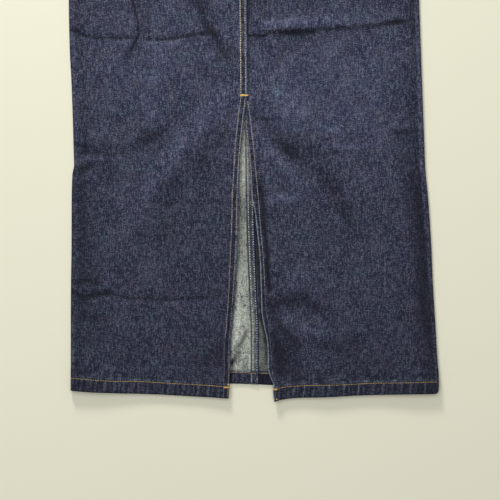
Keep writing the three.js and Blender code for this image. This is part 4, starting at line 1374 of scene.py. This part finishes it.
# dished cap with a raised rim and a ring of beads, on a shank
def buildButton():
    outer, tall = buttonAt["radius"], buttonAt["height"]
    profile = [
        (0, 0), (3.8, 0), (3.8, 0.9), (7.6, 1.0), (8.1, 1.15), (8.4, 1.45), (outer, 1.9), (8.42, 2.4),
        (8.2, 2.85), (7.8, 3.2), (7.35, tall), (6.95, 3.3), (6.6, 3.0), (6.35, 2.72), (6.0, 2.66),
        (5.2, 2.68), (4.9, 2.78), (4.6, 2.88), (4.3, 2.78), (4.0, 2.66), (3.0, 2.62), (1.5, 2.68), (0, 2.72)]
    count = buttonAt["segments"]
    angle = np.linspace(0, 2 * math.pi, count, endpoint=False)
    points, faces = [], []
    for radius, high in profile[1:-1]:
        points += [(radius * math.cos(a), radius * math.sin(a), high) for a in angle]
    levels = len(profile) - 2
    for k in range(levels - 1):
        for s in range(count):
            n = (s + 1) % count
            faces.append((k * count + s, k * count + n, (k + 1) * count + n, (k + 1) * count + s))
    points += [(0, 0, profile[0][1]), (0, 0, profile[-1][1])]
    for s in range(count):
        n = (s + 1) % count
        faces.append((levels * count, n, s))
        faces.append((levels * count + 1, (levels - 1) * count + s, (levels - 1) * count + n))
    beadRing, beadRadius = buttonAt["beadRing"], buttonAt["beadRadius"]
    levels, sides = buttonAt["beadLevels"], buttonAt["beadSides"]
    for bead in range(buttonAt["beads"]):
        around = 2 * math.pi * bead / buttonAt["beads"]
        base = len(points)
        for level in range(levels):
            lean = level * math.pi / (2 * levels)
            wide = beadRadius * math.cos(lean)
            for s in range(sides):
                turn = 2 * math.pi * s / sides
                points.append((beadRing * math.cos(around) + wide * math.cos(turn),
                               beadRing * math.sin(around) + wide * math.sin(turn),
                               buttonAt["beadUp"] + beadRadius * math.sin(lean)))
        for level in range(levels - 1):
            low = base + level * sides
            high = low + sides
            for s in range(sides):
                n = (s + 1) % sides
                faces.append((low + s, low + n, high + n, high + s))
        faces.append(tuple(base + s for s in reversed(range(sides))))
        faces.append(tuple(base + (levels - 1) * sides + s for s in range(sides)))
    moved = np.array(points) + (buttonX, bandMiddle - skirt["length"] / 2, buttonZ)
    mesh = bpy.data.meshes.new("waist_button_cap")
    mesh.from_pydata((moved * mm).tolist(), [], faces)
    mesh.polygons.foreach_set("use_smooth", np.ones(len(faces), bool))
    piece = bpy.data.objects.new("waist_button_cap", mesh)
    bpy.context.collection.objects.link(piece)
    return assign(piece, (buttonMetal,))


buttonPiece = buildButton()
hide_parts("waist_button")

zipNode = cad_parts["zip"]
zipNode.data.materials.clear()
zipNode.data.materials.append(zipCloth)

# floor, light and camera
studio = dict(
    floorSize=3.0,
    floorDrop=0.0001,
    viewCentre=(-4.9, -243.3),
    cameraHeight=1.6,
    fieldWidth=0.65,
    keyTurn=15.0,         # degrees to the left of the waist end
    keyRise=21.0,
    keyDistance=2.6,
    keySize=0.6,
    keyPower=48.0,
    fillHeight=2.2,
    fillSize=2.6,
    fillPower=30.4,
    ambient=0.256,
)


def buildFloor():
    size = studio["floorSize"]
    mesh = bpy.data.meshes.new("floor")
    mesh.from_pydata([(-size, -size, 0), (size, -size, 0), (size, size, 0), (-size, size, 0)], [],
                     [(0, 1, 2, 3)])
    floor = bpy.data.objects.new("floor", mesh)
    bpy.context.collection.objects.link(floor)
    floor.data.materials.append(floorMaterial())
    floor.location.z = -studio["floorDrop"]
    return floor


def buildLight(name, position, target, size, power, colour):
    lamp = bpy.data.lights.new(name, "AREA")
    lamp.shape = "DISK"
    lamp.size = size
    lamp.energy = power
    lamp.color = colour
    light = bpy.data.objects.new(name, lamp)
    bpy.context.collection.objects.link(light)
    light.location = position
    aim = [t - p for t, p in zip(target, position)]
    light.rotation_mode = "QUATERNION"
    light.rotation_quaternion = Vector(aim).to_track_quat("-Z", "Y")
    return light


floor = buildFloor()
centreX, centreY = (value * mm for value in studio["viewCentre"])
turn, rise = math.radians(studio["keyTurn"]), math.radians(studio["keyRise"])
flat = studio["keyDistance"] * math.cos(rise)
keyPlace = (centreX - flat * math.sin(turn), centreY + flat * math.cos(turn),
            studio["keyDistance"] * math.sin(rise))
buildLight("key_light", keyPlace, (centreX, centreY, 0), studio["keySize"], studio["keyPower"],
           (1.0, 0.985, 0.95))
buildLight("overhead_light", (centreX - 0.3, centreY + 0.35, studio["fillHeight"]), (centreX, centreY, 0),
           studio["fillSize"], studio["fillPower"], (1.0, 1.0, 1.0))

world = bpy.data.worlds.new("studio")
world.use_nodes = True
world.node_tree.nodes["Background"].inputs["Color"].default_value = (1.0, 1.0, 1.0, 1)
world.node_tree.nodes["Background"].inputs["Strength"].default_value = studio["ambient"]
bpy.context.scene.world = world
bpy.context.scene.view_settings.view_transform = "Standard"

camera = bpy.data.objects.new("camera", bpy.data.cameras.new("camera"))
bpy.context.collection.objects.link(camera)
camera.location = (centreX, centreY, studio["cameraHeight"])
camera.data.angle = 2 * math.atan(studio["fieldWidth"] / 2 / studio["cameraHeight"])
camera.data.clip_end = 20
bpy.context.scene.camera = camera
print("studio ready")

for key, (piece, flatSize, area) in clothPieces.items():
    under = [floor] if key[0] == "back" else [clothPieces[("back", side)][0] for side in ("left", "right")]
bandLength = float(np.sum(np.hypot(*[np.diff(v) for v in bandPath(waistband["flatAt"])]))) * mm
